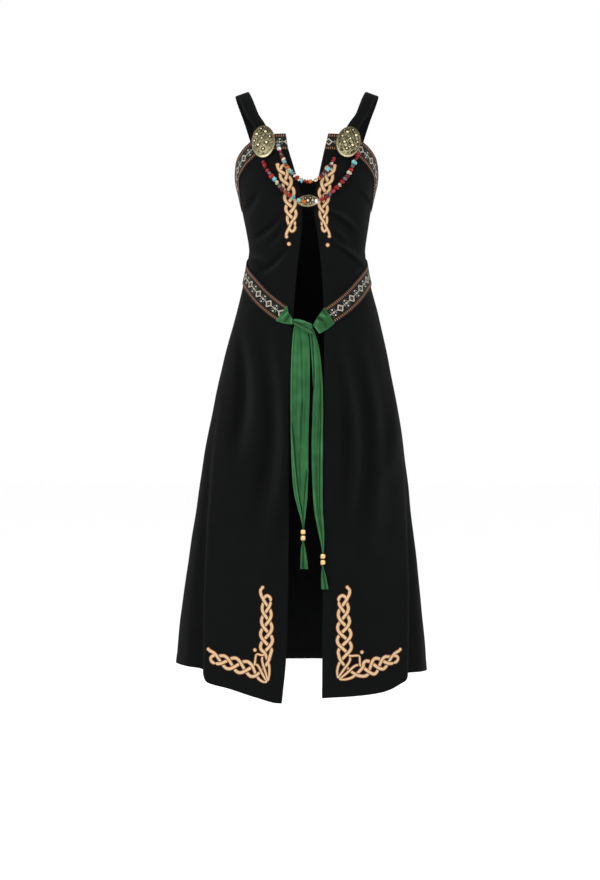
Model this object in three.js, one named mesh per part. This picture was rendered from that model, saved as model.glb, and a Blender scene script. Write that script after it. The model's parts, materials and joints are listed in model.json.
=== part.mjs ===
// Apron dress: a sleeveless over-dress of black woollen cloth, open down the front and held up by
// two shoulder straps. It carries a woven ribbon round its upper edge, cord embroidery beside the
// opening and at the hem corners, two oval brooches, a clasp that joins the fronts, two strings of
// beads, and its own ribbon belt, which ties in front with two long ends.
//
// Millimetres, +Z up. The front faces -Y and the wearer's left is +X. The origin is midway between
// the tops of the shoulder straps. Angles are in degrees round the body: 0 is the centre front,
// +90 the wearer's left side, 180 the centre back and -90 the wearer's right side.
import * as THREE from 'three';

// ---------------------------------------------------------------------------------------------
// Driving sizes

const CLOTH = 1.6; // thickness of the dress cloth
const SEAM_GAP = 0.3; // room left between two panels where a seam joins them
const LAYER_GAP = 0.35; // room left between a layer and what it lies on
const RIBBON = { width: 36, thickness: 0.9 };
const STRAP = { width: 27, thickness: 2.2 };
const BELT = { width: 37, thickness: 1.4, lift: 1.55, leftEnd: 17.5, rightEnd: 20.4 };
const EMBROIDERY = { thickness: 1.1, chestLift: 1.35, hemLift: 0.8 };
const BROOCH = { halfWidth: 24, halfHeight: 35, rim: 2.2, dome: 11 };
const CLASP = { halfWidth: 22, halfHeight: 12, rim: 1.8, dome: 5.5 };
const BEAD_STRING = { diameter: 7, sides: 8 };
const TIE_BEAD = { radius: 6, height: 11.4, bore: 2.9 };
const WAIST = -338; // height of the narrowest part
const HIP = -560; // height from which the skirt hangs free

// The form of the dress, level by level: half its width, its reach to the front and to the back
// of the side seams, how far its middle lies to the side, and how full it is between the front
// (or back) and the side.
const SECTIONS = [
  { height: -80, side: 147, front: 80.5, back: 84, shift: -1, fullness: 0.2 },
  { height: -110, side: 150, front: 93, back: 91, shift: -1, fullness: 0.22 },
  { height: -150, side: 152, front: 108, back: 96, shift: -1, fullness: 0.24 },
  { height: -190, side: 149, front: 116, back: 97, shift: -1, fullness: 0.22 },
  { height: -246, side: 136, front: 108, back: 90, shift: -1, fullness: 0.16 },
  { height: -313, side: 124, front: 93, back: 78, shift: 0, fullness: 0.1 },
  { height: -338, side: 122, front: 90, back: 75, shift: 0, fullness: 0.08 },
  { height: -397, side: 132, front: 97, back: 85, shift: 0, fullness: 0.08 },
  { height: -477, side: 152, front: 112, back: 112, shift: 0, fullness: 0.1 },
  { height: -561, side: 173, front: 121, back: 131, shift: -2, fullness: 0.1 },
  { height: -729, side: 205, front: 134, back: 155, shift: -5, fullness: 0.1 },
  { height: -897, side: 228, front: 146, back: 176, shift: -8, fullness: 0.1 },
  { height: -1065, side: 250, front: 158, back: 196, shift: -11, fullness: 0.1 },
  { height: -1210, side: 264, front: 167, back: 212, shift: -13, fullness: 0.1 },
  { height: -1270, side: 267, front: 170, back: 217, shift: -14, fullness: 0.1 },
];

// The upper edge, the same on both sides: level under the brooches, down round the armholes, and
// nearly level across the back.
const UPPER_EDGE = [
  { angle: 15, height: -100 },
  { angle: 30, height: -101 },
  { angle: 42, height: -106 },
  { angle: 52, height: -117 },
  { angle: 62, height: -131 },
  { angle: 73, height: -150 },
  { angle: 82, height: -178 },
  { angle: 92, height: -205 },
  { angle: 106, height: -203 },
  { angle: 122, height: -190 },
  { angle: 140, height: -178 },
  { angle: 160, height: -173 },
  { angle: 180, height: -172 },
];

// The hem all round: deepest at the front corners, with a step up behind each side fold.
const HEM = [
  { angle: -180, height: -1212 },
  { angle: -120, height: -1205 },
  { angle: -90, height: -1195 },
  { angle: -70, height: -1193 },
  { angle: -54, height: -1199 },
  { angle: -45, height: -1221 },
  { angle: -32, height: -1233 },
  { angle: -19, height: -1248.5 },
  { angle: -9, height: -1258.5 },
  { angle: 8, height: -1248.5 },
  { angle: 24, height: -1245.5 },
  { angle: 36, height: -1241.5 },
  { angle: 44, height: -1235 },
  { angle: 52, height: -1221 },
  { angle: 61, height: -1208 },
  { angle: 90, height: -1210 },
  { angle: 130, height: -1208 },
  { angle: 180, height: -1212 },
];

// The front opening: how far each front edge is from the middle, to the wearer's right and left.
const OPENING = [
  { height: -98, right: -44.5, left: 44 },
  { height: -135, right: -38.5, left: 35.5 },
  { height: -185, right: -24, left: 25 },
  { height: -222, right: -14.5, left: 17.5 },
  { height: -246, right: -11.5, left: 13.5 },
  { height: -281, right: -11.5, left: 18 },
  { height: -320, right: -13.5, left: 23 },
  { height: -354, right: -18.5, left: 28 },
  { height: -442, right: -26.5, left: 33.5 },
  { height: -540, right: -32, left: 34.5 },
  { height: -700, right: -36, left: 34 },
  { height: -1010, right: -39, left: 32 },
  { height: -1169, right: -43, left: 30.5 },
  { height: -1254, right: -52, left: 30 },
];

// The folds of the skirt: where each one crosses the hip and the hem, the angle over which it
// fades, how far it stands out (or in, below zero) at the hem, and the height where it begins.
const FOLDS = [
  { hip: -69, hem: -45, fade: 5, depth: 5, top: -560 },
  { hip: -76, hem: -53, fade: 4.5, depth: -17, top: -560 },
  { hip: 82, hem: 52, fade: 5, depth: 5, top: -680 },
  { hip: 88, hem: 60, fade: 4.5, depth: -16, top: -680 },
  { hip: 112, hem: 108, fade: 8, depth: 9, top: -620 },
  { hip: 127, hem: 124, fade: 7, depth: -11, top: -560 },
  { hip: 143, hem: 141, fade: 9, depth: 10, top: -600 },
  { hip: 160, hem: 159, fade: 7, depth: -12, top: -540 },
  { hip: 176, hem: 178, fade: 9, depth: 8, top: -640 },
  { hip: 194, hem: 197, fade: 7, depth: -13, top: -550 },
  { hip: 211, hem: 214, fade: 9, depth: 11, top: -590 },
  { hip: 229, hem: 232, fade: 7, depth: -10, top: -570 },
  { hip: 246, hem: 251, fade: 8, depth: 9, top: -650 },
];

// The cups, shaped into the two fronts.
const CUPS = [
  { angle: -33, height: -190, fadeAngle: 17, fadeHeight: 44, depth: 6 },
  { angle: 33, height: -190, fadeAngle: 17, fadeHeight: 44, depth: 6 },
];

// The belt's centre line, measured down each side from the centre back to the front.
const BELT_LINE = [
  { angle: 8, height: -489 },
  { angle: 20, height: -471 },
  { angle: 35, height: -446 },
  { angle: 60, height: -406 },
  { angle: 90, height: -376 },
  { angle: 120, height: -355 },
  { angle: 150, height: -341 },
  { angle: 180, height: -336 },
];

// The strap of the wearer's left side: its middle, from the chest over the shoulder to the back,
// with the turn of its width about the vertical and its slope down to the shoulder's end.
const STRAP_LINE = [
  { x: 113, y: -59, z: -58, turn: 18, slope: 5 },
  { x: 125, y: -40, z: -28, turn: 11, slope: 12 },
  { x: 134, y: -16, z: -8, turn: 4, slope: 18 },
  { x: 137, y: 7, z: -4.5, turn: 0, slope: 20 },
  { x: 133, y: 31, z: -17, turn: -5, slope: 17 },
  { x: 120, y: 54, z: -52, turn: -13, slope: 9 },
  { x: 106, y: 67, z: -98, turn: -20, slope: 4 },
  { x: 95, y: 74, z: -145, turn: -25, slope: 0 },
];

// Centre lines of the embroidery, as seen from the front, from one end to the other.
const CHEST_PLAIT = {
  right: [[-55, -164], [-43, -186], [-36, -222], [-32, -262], [-35, -294], [-42, -316]],
  left: [[44, -170], [35, -194], [29, -230], [29, -264], [34, -294], [44, -316]],
};
const HEM_PLAIT = {
  right: { top: [-86, -1028], corner: [-82, -1189], end: [-198, -1172] },
  left: { top: [78, -1028], corner: [73, -1191], end: [188, -1168] },
};
const CHEST_WIDTH = 25;
const HEM_WIDTH = 32;
const CHEST_CELLS = 6;
const UPRIGHT_CELLS = 6;
const LEVEL_CELLS = 5;
const STEPS_PER_CELL = 4;
const NARROW = 0.8; // a plait's width where its strands cross, as a share of its full width
const GAP_SHARE = 0.2; // half the width of the gaps between the strands
const CORNER_REACH = 9; // how far the corner's point runs below the level leg

// The two strings of beads, [x, y, z], from the wearer's right brooch to the left one.
const UPPER_STRING = [
  [-60.5, -104, -125], [-54, -108.5, -142], [-49, -114, -156], [-43, -119.7, -169], [-36, -122.2, -179],
  [-27, -124, -190], [-14, -124.5, -199], [4, -124.5, -203.5], [21, -124.5, -197.5], [34, -123.6, -187],
  [44, -121.6, -174.5], [51, -118.5, -163], [56, -114, -153],
];
const LOWER_STRING = [
  [-91, -104.5, -158], [-85, -112, -172], [-78, -118.5, -184], [-67, -121.5, -198], [-56, -121.5, -213],
  [-43, -120, -226], [-28, -120, -236], [-14, -122.5, -242.5], [4, -124, -245], [24, -122, -242],
  [34, -119.5, -236], [46, -118.5, -228], [62, -118.5, -213], [76, -118, -198], [88, -113.5, -180],
  [94.5, -107, -166], [100.5, -100, -152], [107, -92, -138],
];

// The ties, level by level: the two edges as seen from the front, and how far the tie stands off
// the form of the dress.
const TIE = { thickness: 1.8 };
const RIGHT_TIE = [
  { height: -495, from: -26, to: -3, lift: 0.4 },
  { height: -512, from: -29, to: 1, lift: 0.5 },
  { height: -532, from: -30.5, to: 4, lift: 1 },
  { height: -575, from: -32.5, to: 5, lift: 2 },
  { height: -640, from: -33.5, to: 4.5, lift: 2 },
  { height: -729, from: -33, to: 2, lift: 2 },
  { height: -806, from: -30, to: 1.5, lift: 2.6 },
  { height: -845, from: -25, to: 0, lift: 4 },
  { height: -880, from: -15.5, to: -3.5, lift: 6 },
  { height: -905, from: -10, to: -6.5, lift: 7.2 },
  { height: -937, from: -10.2, to: -6.8, lift: 7.2 },
  { height: -950, from: -12.5, to: -3.5, lift: 6 },
  { height: -989, from: -14, to: 1.5, lift: 4 },
];
const LEFT_TIE = [
  { height: -503, from: 2, to: 12.5, lift: 0.4 },
  { height: -520, from: 5, to: 18, lift: 0.7 },
  { height: -545, from: 7, to: 24, lift: 1.8 },
  { height: -617, from: 12, to: 31, lift: 2.4 },
  { height: -729, from: 9, to: 31.5, lift: 2.4 },
  { height: -812, from: 10, to: 31, lift: 3 },
  { height: -873, from: 14, to: 31, lift: 4.4 },
  { height: -916, from: 22, to: 33.5, lift: 6.4 },
  { height: -952, from: 28.7, to: 32.3, lift: 7.6 },
  { height: -988, from: 28.7, to: 32.3, lift: 7.6 },
  { height: -1000, from: 27.5, to: 36, lift: 6.4 },
  { height: -1030, from: 28, to: 42, lift: 4.4 },
];
const TIE_BEADS = [
  { name: 'tie_bead_right_upper', x: -8.4, z: -915, lift: 8.1 },
  { name: 'tie_bead_right_lower', x: -8.5, z: -927, lift: 8.1 },
  { name: 'tie_bead_left_upper', x: 30.5, z: -964, lift: 8.5 },
  { name: 'tie_bead_left_lower', x: 30.5, z: -976, lift: 8.5 },
];

// The green cloth between the ribbon's ends and the knot: the upper and lower edge at each step.
const RIGHT_END = [
  { upper: [-37, -471.5], lower: [-46, -491.5], lift: 2.6 },
  { upper: [-29, -483], lower: [-29, -494], lift: 5.4 },
];
const LEFT_END = [
  { upper: [11.6, -496], lower: [24, -513], lift: 4.4 },
  { upper: [21, -479], lower: [40, -503.5], lift: 3 },
];
// The knot that binds them, from the wearer's right to the left.
const KNOT = [
  { x: -29, z: -488, halfHeight: 4.5, halfDepth: 3.5 },
  { x: -22, z: -489.5, halfHeight: 7, halfDepth: 5.5 },
  { x: -11, z: -493, halfHeight: 9.5, halfDepth: 7.5 },
  { x: 0, z: -498, halfHeight: 11.5, halfDepth: 8 },
  { x: 8, z: -501, halfHeight: 12, halfDepth: 6 },
  { x: 11, z: -502, halfHeight: 9, halfDepth: 3 },
];

// ---------------------------------------------------------------------------------------------
// Materials

const cloth = (color) => new THREE.MeshStandardMaterial({ color, roughness: 0.95, metalness: 0 });
const metal = (color, roughness) => new THREE.MeshStandardMaterial({ color, roughness, metalness: 1 });

const black = () => cloth(0x17181a);
const green = () => cloth(0x2f6b3c);
const ribbon = () => cloth(0x6b5340);
const peachThread = () => cloth(0xe7c196);
const bronze = () => metal(0x8a7c46, 0.42);
const gold = () => metal(0xd9b75e, 0.25);
const mixedStone = () => new THREE.MeshStandardMaterial({ color: 0xb0563f, roughness: 0.3 });

// ---------------------------------------------------------------------------------------------
// Tables and the form of the dress

const radians = (degrees) => (degrees * Math.PI) / 180;

// A smooth curve through the rows of a table, ordered by the column named key.
function smoothTable(rows, key) {
  const sorted = [...rows].sort((a, b) => a[key] - b[key]);
  const slope = (i, column) => {
    const before = sorted[Math.max(i - 1, 0)];
    const after = sorted[Math.min(i + 1, sorted.length - 1)];
    return (after[column] - before[column]) / (after[key] - before[key]);
  };
  return (at, column) => {
    const last = sorted.length - 1;
    if (at <= sorted[0][key]) return sorted[0][column];
    if (at >= sorted[last][key]) return sorted[last][column];
    const next = sorted.findIndex((row) => row[key] > at);
    const low = sorted[next - 1];
    const high = sorted[next];
    const span = high[key] - low[key];
    const t = (at - low[key]) / span;
    const [t2, t3] = [t * t, t * t * t];
    return (
      low[column] * (2 * t3 - 3 * t2 + 1) +
      slope(next - 1, column) * span * (t3 - 2 * t2 + t) +
      high[column] * (3 * t2 - 2 * t3) +
      slope(next, column) * span * (t3 - t2)
    );
  };
}

const section = smoothTable(SECTIONS, 'height');
const upperEdge = smoothTable(UPPER_EDGE, 'angle');
const hemEdge = smoothTable(HEM, 'angle');
const openingEdge = smoothTable(OPENING, 'height');
const beltLine = smoothTable(BELT_LINE, 'angle');

// The angle brought to between -180 and 180, and its size without the sign.
const wrapped = (angle) => ((((angle + 180) % 360) + 360) % 360) - 180;
const fromFront = (angle) => Math.abs(wrapped(angle));
const upperHeight = (angle) => upperEdge(fromFront(angle), 'height');
const hemHeight = (angle) => hemEdge(wrapped(angle), 'height');
const beltHeight = (angle) => beltLine(fromFront(angle), 'height');
const bell = (x) => Math.exp(-x * x);

const HEM_LEVEL = -1250;
function foldDepth(angle, height) {
  let depth = 0;
  for (const fold of FOLDS) {
    const down = THREE.MathUtils.smoothstep(-height, -fold.top, -HEM_LEVEL);
    const drop = THREE.MathUtils.clamp((HIP - height) / (HIP - HEM_LEVEL), 0, 1);
    const centre = fold.hip + (fold.hem - fold.hip) * drop;
    depth += fold.depth * down * bell(wrapped(angle - centre) / fold.fade);
  }
  for (const cup of CUPS) {
    const across = (wrapped(angle) - cup.angle) / cup.fadeAngle;
    const along = (height - cup.height) / cup.fadeHeight;
    depth += cup.depth * bell(across) * bell(along);
  }
  return depth;
}

// A point of the dress's outer face.
function form(angle, height) {
  const [sine, cosine] = [Math.sin(radians(angle)), Math.cos(radians(angle))];
  const reach = section(height, cosine > 0 ? 'front' : 'back');
  const full = 1 + section(height, 'fullness') * sine * sine;
  const out = foldDepth(angle, height);
  return new THREE.Vector3(
    section(height, 'shift') + section(height, 'side') * sine + out * sine,
    -reach * cosine * full - out * cosine,
    height,
  );
}

const STEP = 0.5;
function outward(angle, height) {
  const across = form(angle + STEP, height).sub(form(angle - STEP, height));
  const up = form(angle, height + STEP).sub(form(angle, height - STEP));
  return across.cross(up).normalize();
}

// A point that stands off the outer face by lift.
const offForm = (angle, height, lift) =>
  form(angle, height).addScaledVector(outward(angle, height), lift);

// The angle, on the front half, at which the form has the given x.
function angleAt(x, height) {
  let [low, high] = [-88, 88];
  for (let i = 0; i < 30; i++) {
    const middle = (low + high) / 2;
    if (form(middle, height).x < x) low = middle;
    else high = middle;
  }
  return (low + high) / 2;
}
const offFront = (x, height, lift) => offForm(angleAt(x, height), height, lift);

// ---------------------------------------------------------------------------------------------
// Solids

function solid(positions, faces) {
  const geometry = new THREE.BufferGeometry();
  const numbers = positions.flatMap((p) => [p.x, p.y, p.z]);
  geometry.setAttribute('position', new THREE.Float32BufferAttribute(numbers, 3));
  geometry.setIndex(faces.flat());
  geometry.computeVertexNormals();
  return geometry;
}

// A closed wall between an outer and an inner grid of points. Rows run down and columns run
// towards the wearer's left, as seen from outside.
function wall(outer, inner) {
  const [rows, columns] = [outer.length, outer[0].length];
  const positions = [...outer.flat(), ...inner.flat()];
  const out = (r, c) => r * columns + c;
  const into = (r, c) => rows * columns + r * columns + c;
  const faces = [];
  const quad = (a, b, c, d) => faces.push([a, b, c], [a, c, d]);
  for (let r = 0; r + 1 < rows; r++) {
    for (let c = 0; c + 1 < columns; c++) {
      quad(out(r, c), out(r + 1, c), out(r + 1, c + 1), out(r, c + 1));
      quad(into(r, c), into(r, c + 1), into(r + 1, c + 1), into(r + 1, c));
    }
    quad(out(r, 0), into(r, 0), into(r + 1, 0), out(r + 1, 0));
    const c = columns - 1;
    quad(out(r, c), out(r + 1, c), into(r + 1, c), into(r, c));
  }
  for (let c = 0; c + 1 < columns; c++) {
    quad(out(0, c), out(0, c + 1), into(0, c + 1), into(0, c));
    const r = rows - 1;
    quad(out(r, c), into(r, c), into(r, c + 1), out(r, c + 1));
  }
  return solid(positions, faces);
}

// A wall whose two faces stand off the form, over a grid of { angle, height }.
function layer(grid, innerLift, outerLift) {
  const at = (lift) => grid.map((row) => row.map((p) => offForm(p.angle, p.height, lift)));
  return wall(at(outerLift), at(innerLift));
}

// A closed body through rings of points, each ring counter-clockwise as seen from the first one.
function loft(rings) {
  const count = rings[0].length;
  const positions = rings.flat();
  const faces = [];
  const at = (ring, i) => ring * count + (i % count);
  for (let r = 0; r + 1 < rings.length; r++) {
    for (let i = 0; i < count; i++) {
      faces.push([at(r, i), at(r, i + 1), at(r + 1, i + 1)]);
      faces.push([at(r, i), at(r + 1, i + 1), at(r + 1, i)]);
    }
  }
  const last = rings.length - 1;
  for (let i = 1; i + 1 < count; i++) {
    faces.push([at(0, 0), at(0, i + 1), at(0, i)]);
    faces.push([at(last, 0), at(last, i), at(last, i + 1)]);
  }
  return solid(positions, faces);
}

function named(name, geometry, material) {
  const mesh = new THREE.Mesh(geometry, material);
  mesh.name = name;
  return mesh;
}

// ---------------------------------------------------------------------------------------------
// The three panels of cloth

const SEAM = 92; // angle of the side seams, just behind the sides
const RIBBON_ROWS = 2;
const BODICE_ROWS = 5;
const HIP_ROWS = 6;
const SKIRT_ROWS = 10;

// How far down a column the ribbon's lower edge is: its width, measured square to the edge.
function ribbonDrop(angle) {
  const [a, b] = [angle - 1, angle + 1].map((at) => form(at, upperHeight(at)));
  const run = Math.hypot(b.x - a.x, b.y - a.y);
  const rise = upperHeight(angle + 1) - upperHeight(angle - 1);
  return (RIBBON.width * Math.hypot(run, rise)) / run;
}

// The heights of a column's points, from the upper edge down to the hem.
function columnHeights(top, angleTop, hem) {
  const heights = [];
  const run = (from, to, count) => {
    for (let i = 0; i < count; i++) heights.push(from + ((to - from) * i) / count);
  };
  const ribbonEnd = top - ribbonDrop(angleTop);
  run(top, ribbonEnd, RIBBON_ROWS);
  run(ribbonEnd, WAIST, BODICE_ROWS);
  run(WAIST, HIP, HIP_ROWS);
  run(HIP, hem, SKIRT_ROWS);
  return [...heights, hem];
}

// A grid of { angle, height } whose columns follow angleOf(column, height).
function panelGrid(columns, angleOf) {
  const settled = (column, edge) => {
    let height = edge(angleOf(column, WAIST));
    for (let i = 0; i < 8; i++) height = edge(angleOf(column, height));
    return height;
  };
  const byColumn = columns.map((column) => {
    const top = settled(column, upperHeight);
    const hem = settled(column, hemHeight);
    const heights = columnHeights(top, angleOf(column, top), hem);
    return heights.map((height) => ({ angle: angleOf(column, height), height }));
  });
  return byColumn[0].map((_, row) => byColumn.map((column) => column[row]));
}

// Half a seam's gap, as an angle at the given height.
function seamAngle(height) {
  const perDegree = form(SEAM + 1, height).distanceTo(form(SEAM, height));
  return SEAM_GAP / 2 / perDegree;
}

// The columns of a front gather at its side fold. Column 0 is the front edge, 1 the ridge of the
// fold, 2 its trough and 3 the side seam. Above the hip they keep a little nearer the front.
const FRONT_STEPS = [11, 2, 5];
const NEARER = 0.07;
function frontGrid(side) {
  const sign = side === 'left' ? 1 : -1;
  const [ridge, trough] = side === 'left' ? [FOLDS[2], FOLDS[3]] : [FOLDS[0], FOLDS[1]];
  const follow = (fold, height) => {
    const drop = THREE.MathUtils.clamp((HIP - height) / (HIP - HEM_LEVEL), 0, 1);
    const nearer = NEARER * THREE.MathUtils.smoothstep(height, HIP - 120, HIP);
    return (fold.hip + (fold.hem - fold.hip) * drop) * (1 - nearer);
  };
  const angleOf = (column, height) => {
    const guides = [
      angleAt(openingEdge(height, side), height),
      follow(ridge, height),
      follow(trough, height),
      sign * (SEAM - seamAngle(height)),
    ];
    const from = Math.min(Math.floor(column), 2);
    return guides[from] + (guides[from + 1] - guides[from]) * (column - from);
  };
  const columns = FRONT_STEPS.flatMap((steps, part) =>
    Array.from({ length: steps }, (_, i) => part + i / steps),
  );
  columns.push(3);
  if (sign < 0) columns.reverse();
  return panelGrid(columns, angleOf);
}

const BACK_STEPS = 26;
function backGrid() {
  const columns = Array.from({ length: BACK_STEPS + 1 }, (_, i) => i / BACK_STEPS);
  const angleOf = (column, height) => {
    const edge = SEAM + seamAngle(height);
    return edge + (360 - 2 * edge) * column;
  };
  return panelGrid(columns, angleOf);
}

const grids = { left: frontGrid('left'), right: frontGrid('right'), back: backGrid() };

// The ribbon covers the uppermost rows of a panel.
const RIBBON_LIFT = LAYER_GAP + RIBBON.thickness;
const ribbonOn = (grid) => layer(grid.slice(0, RIBBON_ROWS + 1), LAYER_GAP, RIBBON_LIFT);

function dressPanels() {
  return [
    named('front_left', layer(grids.left, -CLOTH, 0), black()),
    named('front_right', layer(grids.right, -CLOTH, 0), black()),
    named('back', layer(grids.back, -CLOTH, 0), black()),
    named('trim_front_left', ribbonOn(grids.left), ribbon()),
    named('trim_front_right', ribbonOn(grids.right), ribbon()),
    named('trim_back', ribbonOn(grids.back), ribbon()),
  ];
}

// ---------------------------------------------------------------------------------------------
// Straps: sewn over the ribbon in front, under the brooch, and inside the back's upper edge

const STRAP_STEPS = 20;
const FRONT_END = [
  { angle: 34, height: -130 },
  { angle: 37, height: -107 },
  { angle: 40, height: -86 },
];
const BACK_END = [
  { angle: 145, height: -180 },
  { angle: 145, height: -208 },
];

// Three points across the strap where it lies on the dress, from the neck's side outwards.
function strapOnForm(sign, angle, height, lift) {
  const perDegree = form(angle + 1, height).distanceTo(form(angle, height));
  const reach = (angle < 90 ? STRAP.width : -STRAP.width) / 2 / perDegree;
  return [-1, 0, 1].map((c) => offForm(sign * (angle + c * reach), height, lift));
}

// The same where it is free: turned about the vertical, and sloping down to the shoulder's end.
function strapFree(sign, { x, y, z, turn, slope }, along, lift) {
  const across = new THREE.Vector3(
    Math.cos(radians(turn)) * Math.cos(radians(slope)),
    Math.sin(radians(turn)) * Math.cos(radians(slope)),
    -Math.sin(radians(slope)),
  );
  const out = across.clone().cross(along).normalize();
  return [-1, 0, 1].map((c) => {
    const p = new THREE.Vector3(x, y, z).addScaledVector(across, (c * STRAP.width) / 2);
    p.addScaledVector(out, lift);
    p.x *= sign;
    return p;
  });
}

function strap(side) {
  const sign = side === 'left' ? 1 : -1;
  const half = STRAP.thickness / 2;
  const frontLift = RIBBON_LIFT + 1.6 * LAYER_GAP + half;
  const backLift = -CLOTH - 2 * LAYER_GAP - half;
  const alongAt = (i) => {
    const a = STRAP_LINE[Math.max(i - 1, 0)];
    const b = STRAP_LINE[Math.min(i + 1, STRAP_LINE.length - 1)];
    return new THREE.Vector3(b.x - a.x, b.y - a.y, b.z - a.z).normalize();
  };
  const face = (offset) => {
    const stations = [
      ...FRONT_END.map((end) => strapOnForm(sign, end.angle, end.height, frontLift + offset)),
      ...STRAP_LINE.map((station, i) => strapFree(sign, station, alongAt(i), offset)),
      ...BACK_END.map((end) => strapOnForm(sign, end.angle, end.height, backLift + offset)),
    ];
    const columns = sign > 0 ? [0, 1, 2] : [2, 1, 0];
    const lines = columns.map((c) => new THREE.CatmullRomCurve3(stations.map((row) => row[c])));
    return Array.from({ length: STRAP_STEPS + 1 }, (_, i) =>
      lines.map((line) => line.getPoint(1 - i / STRAP_STEPS)),
    );
  };
  const [outer, inner] = [face(half), face(-half)];
  return named(`strap_${side}`, wall(outer, inner), black());
}

// ---------------------------------------------------------------------------------------------
// Embroidery: plaits of thick cord, each a pierced band laid on the cloth

// The rows of one leg of a plait, in a flat plan. Each row has the two edges and, between them, the
// two sides of the gap between the strands, which meet where there is no gap.
function plaitRows(line, width, cells, ends) {
  const curve = new THREE.CatmullRomCurve3(line.map(([x, z]) => new THREE.Vector3(x, z, 0)));
  const steps = cells * STEPS_PER_CELL;
  return Array.from({ length: steps + 1 }, (_, i) => {
    const p = curve.getPoint(i / steps);
    const d = curve.getTangent(i / steps);
    const place = (across) => [p.x - d.y * across, p.y + d.x * across];
    const swell = NARROW + (1 - NARROW) * Math.sin((Math.PI * i) / STEPS_PER_CELL) ** 2;
    const taper = Math.min(1, ends[0] + 0.12 * i, ends[1] + 0.12 * (steps - i));
    const pierced = i > STEPS_PER_CELL && i < steps - STEPS_PER_CELL;
    const gap = pierced && i % STEPS_PER_CELL === STEPS_PER_CELL / 2 ? GAP_SHARE * width : 0;
    const half = (width / 2) * swell * taper;
    return [place(half), place(gap), place(-gap), place(-half)];
  });
}

// The four-sided patches between rows, on both sides of the gaps.
function patchesBetween(rows) {
  return rows.slice(1).flatMap((row, i) => [
    [rows[i][0], rows[i][1], row[1], row[0]],
    [rows[i][2], rows[i][3], row[3], row[2]],
  ]);
}

// A thin solid over a plan of patches that share their corners, each counter-clockwise as seen
// from the front. An edge that only one patch has gets a side wall.
function embroidery(name, patches, lift) {
  const corners = [];
  const index = new Map();
  const cornerOf = ([x, z]) => {
    const key = `${x.toFixed(3)} ${z.toFixed(3)}`;
    if (!index.has(key)) {
      index.set(key, corners.length);
      corners.push([x, z]);
    }
    return index.get(key);
  };
  const loops = patches
    .map((patch) => patch.map(cornerOf).filter((c, i, all) => c !== all[(i + 1) % all.length]))
    .filter((loop) => loop.length > 2);
  const edges = new Set(
    loops.flatMap((loop) => loop.map((c, i) => `${c} ${loop[(i + 1) % loop.length]}`)),
  );
  const below = corners.length;
  const faces = [];
  for (const loop of loops) {
    for (let i = 1; i + 1 < loop.length; i++) {
      faces.push([loop[0], loop[i], loop[i + 1]]);
      faces.push([below + loop[0], below + loop[i + 1], below + loop[i]]);
    }
  }
  for (const edge of edges) {
    const [from, to] = edge.split(' ').map(Number);
    if (edges.has(`${to} ${from}`)) continue;
    faces.push([to, from, below + from], [to, below + from, below + to]);
  }
  const face = (extra) => corners.map(([x, z]) => offFront(x, z, lift + extra));
  return named(name, solid([...face(EMBROIDERY.thickness), ...face(0)], faces), peachThread());
}

function chestEmbroidery(side) {
  const rows = plaitRows(CHEST_PLAIT[side], CHEST_WIDTH, CHEST_CELLS, [0.35, 0.3]);
  return embroidery(`embroidery_chest_${side}`, patchesBetween(rows), EMBROIDERY.chestLift);
}

// Two legs that meet in a point at the hem's corner.
function hemEmbroidery(side) {
  const { top, corner, end } = HEM_PLAIT[side];
  const [x, z] = corner;
  const away = Math.sign(end[0] - x);
  const half = (HEM_WIDTH / 2) * NARROW;
  const [beside, above] = [x + away * half, z + half];
  const upright = plaitRows([top, [x, above]], HEM_WIDTH, UPRIGHT_CELLS, [0.35, 1]);
  const level = plaitRows([[beside, z], end], HEM_WIDTH, LEVEL_CELLS, [1, 0.35]);
  upright[upright.length - 1] = [[x + half, above], [x, above], [x, above], [x - half, above]];
  level[0] = [[beside, z + away * half], [beside, z], [beside, z], [beside, z - away * half]];
  const point = [x - away * half * 0.8, z - half - CORNER_REACH];
  const meeting = [
    [[beside, above], [x, above], [x, z], [beside, z]],
    [[beside, z], [x, z], point, [beside, z - half]],
    [[x, above], [x - away * half, above], point, [x, z]],
  ];
  if (away < 0) meeting.forEach((patch) => patch.reverse());
  const patches = [...patchesBetween(upright), ...patchesBetween(level), ...meeting];
  return embroidery(`embroidery_hem_${side}`, patches, EMBROIDERY.hemLift);
}

// ---------------------------------------------------------------------------------------------
// Brooches and clasp: oval domes with a flat back, a raised rim and a lattice of bosses

// height(r, turn) is the relief at a share r of the oval's radius.
function ovalRelief({ halfWidth, halfHeight }, height, rings, sectors) {
  const positions = [new THREE.Vector3(0, 0, height(0, 0)), new THREE.Vector3(0, 0, 0)];
  const at = (r, turn, z) =>
    new THREE.Vector3(halfWidth * r * Math.cos(turn), halfHeight * r * Math.sin(turn), z);
  for (let ring = 1; ring <= rings; ring++) {
    for (let i = 0; i < sectors; i++) {
      const turn = (2 * Math.PI * i) / sectors;
      positions.push(at(ring / rings, turn, height(ring / rings, turn)));
    }
  }
  for (let i = 0; i < sectors; i++) positions.push(at(1, (2 * Math.PI * i) / sectors, 0));
  const index = (ring, i) => 2 + (ring - 1) * sectors + (i % sectors);
  const faces = [];
  for (let i = 0; i < sectors; i++) {
    faces.push([0, index(1, i), index(1, i + 1)]);
    faces.push([1, index(rings + 1, i + 1), index(rings + 1, i)]);
    for (let ring = 1; ring <= rings; ring++) {
      faces.push([index(ring, i), index(ring + 1, i), index(ring + 1, i + 1)]);
      faces.push([index(ring, i), index(ring + 1, i + 1), index(ring, i + 1)]);
    }
  }
  return solid(positions, faces);
}

const BOSS_RING = { share: 0.56, count: 6, spread: 0.17, height: 1.8 };
const dome = (size, r) => size.rim + size.dome * Math.sqrt(Math.max(0, 1 - (r / 0.97) ** 2));

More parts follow.
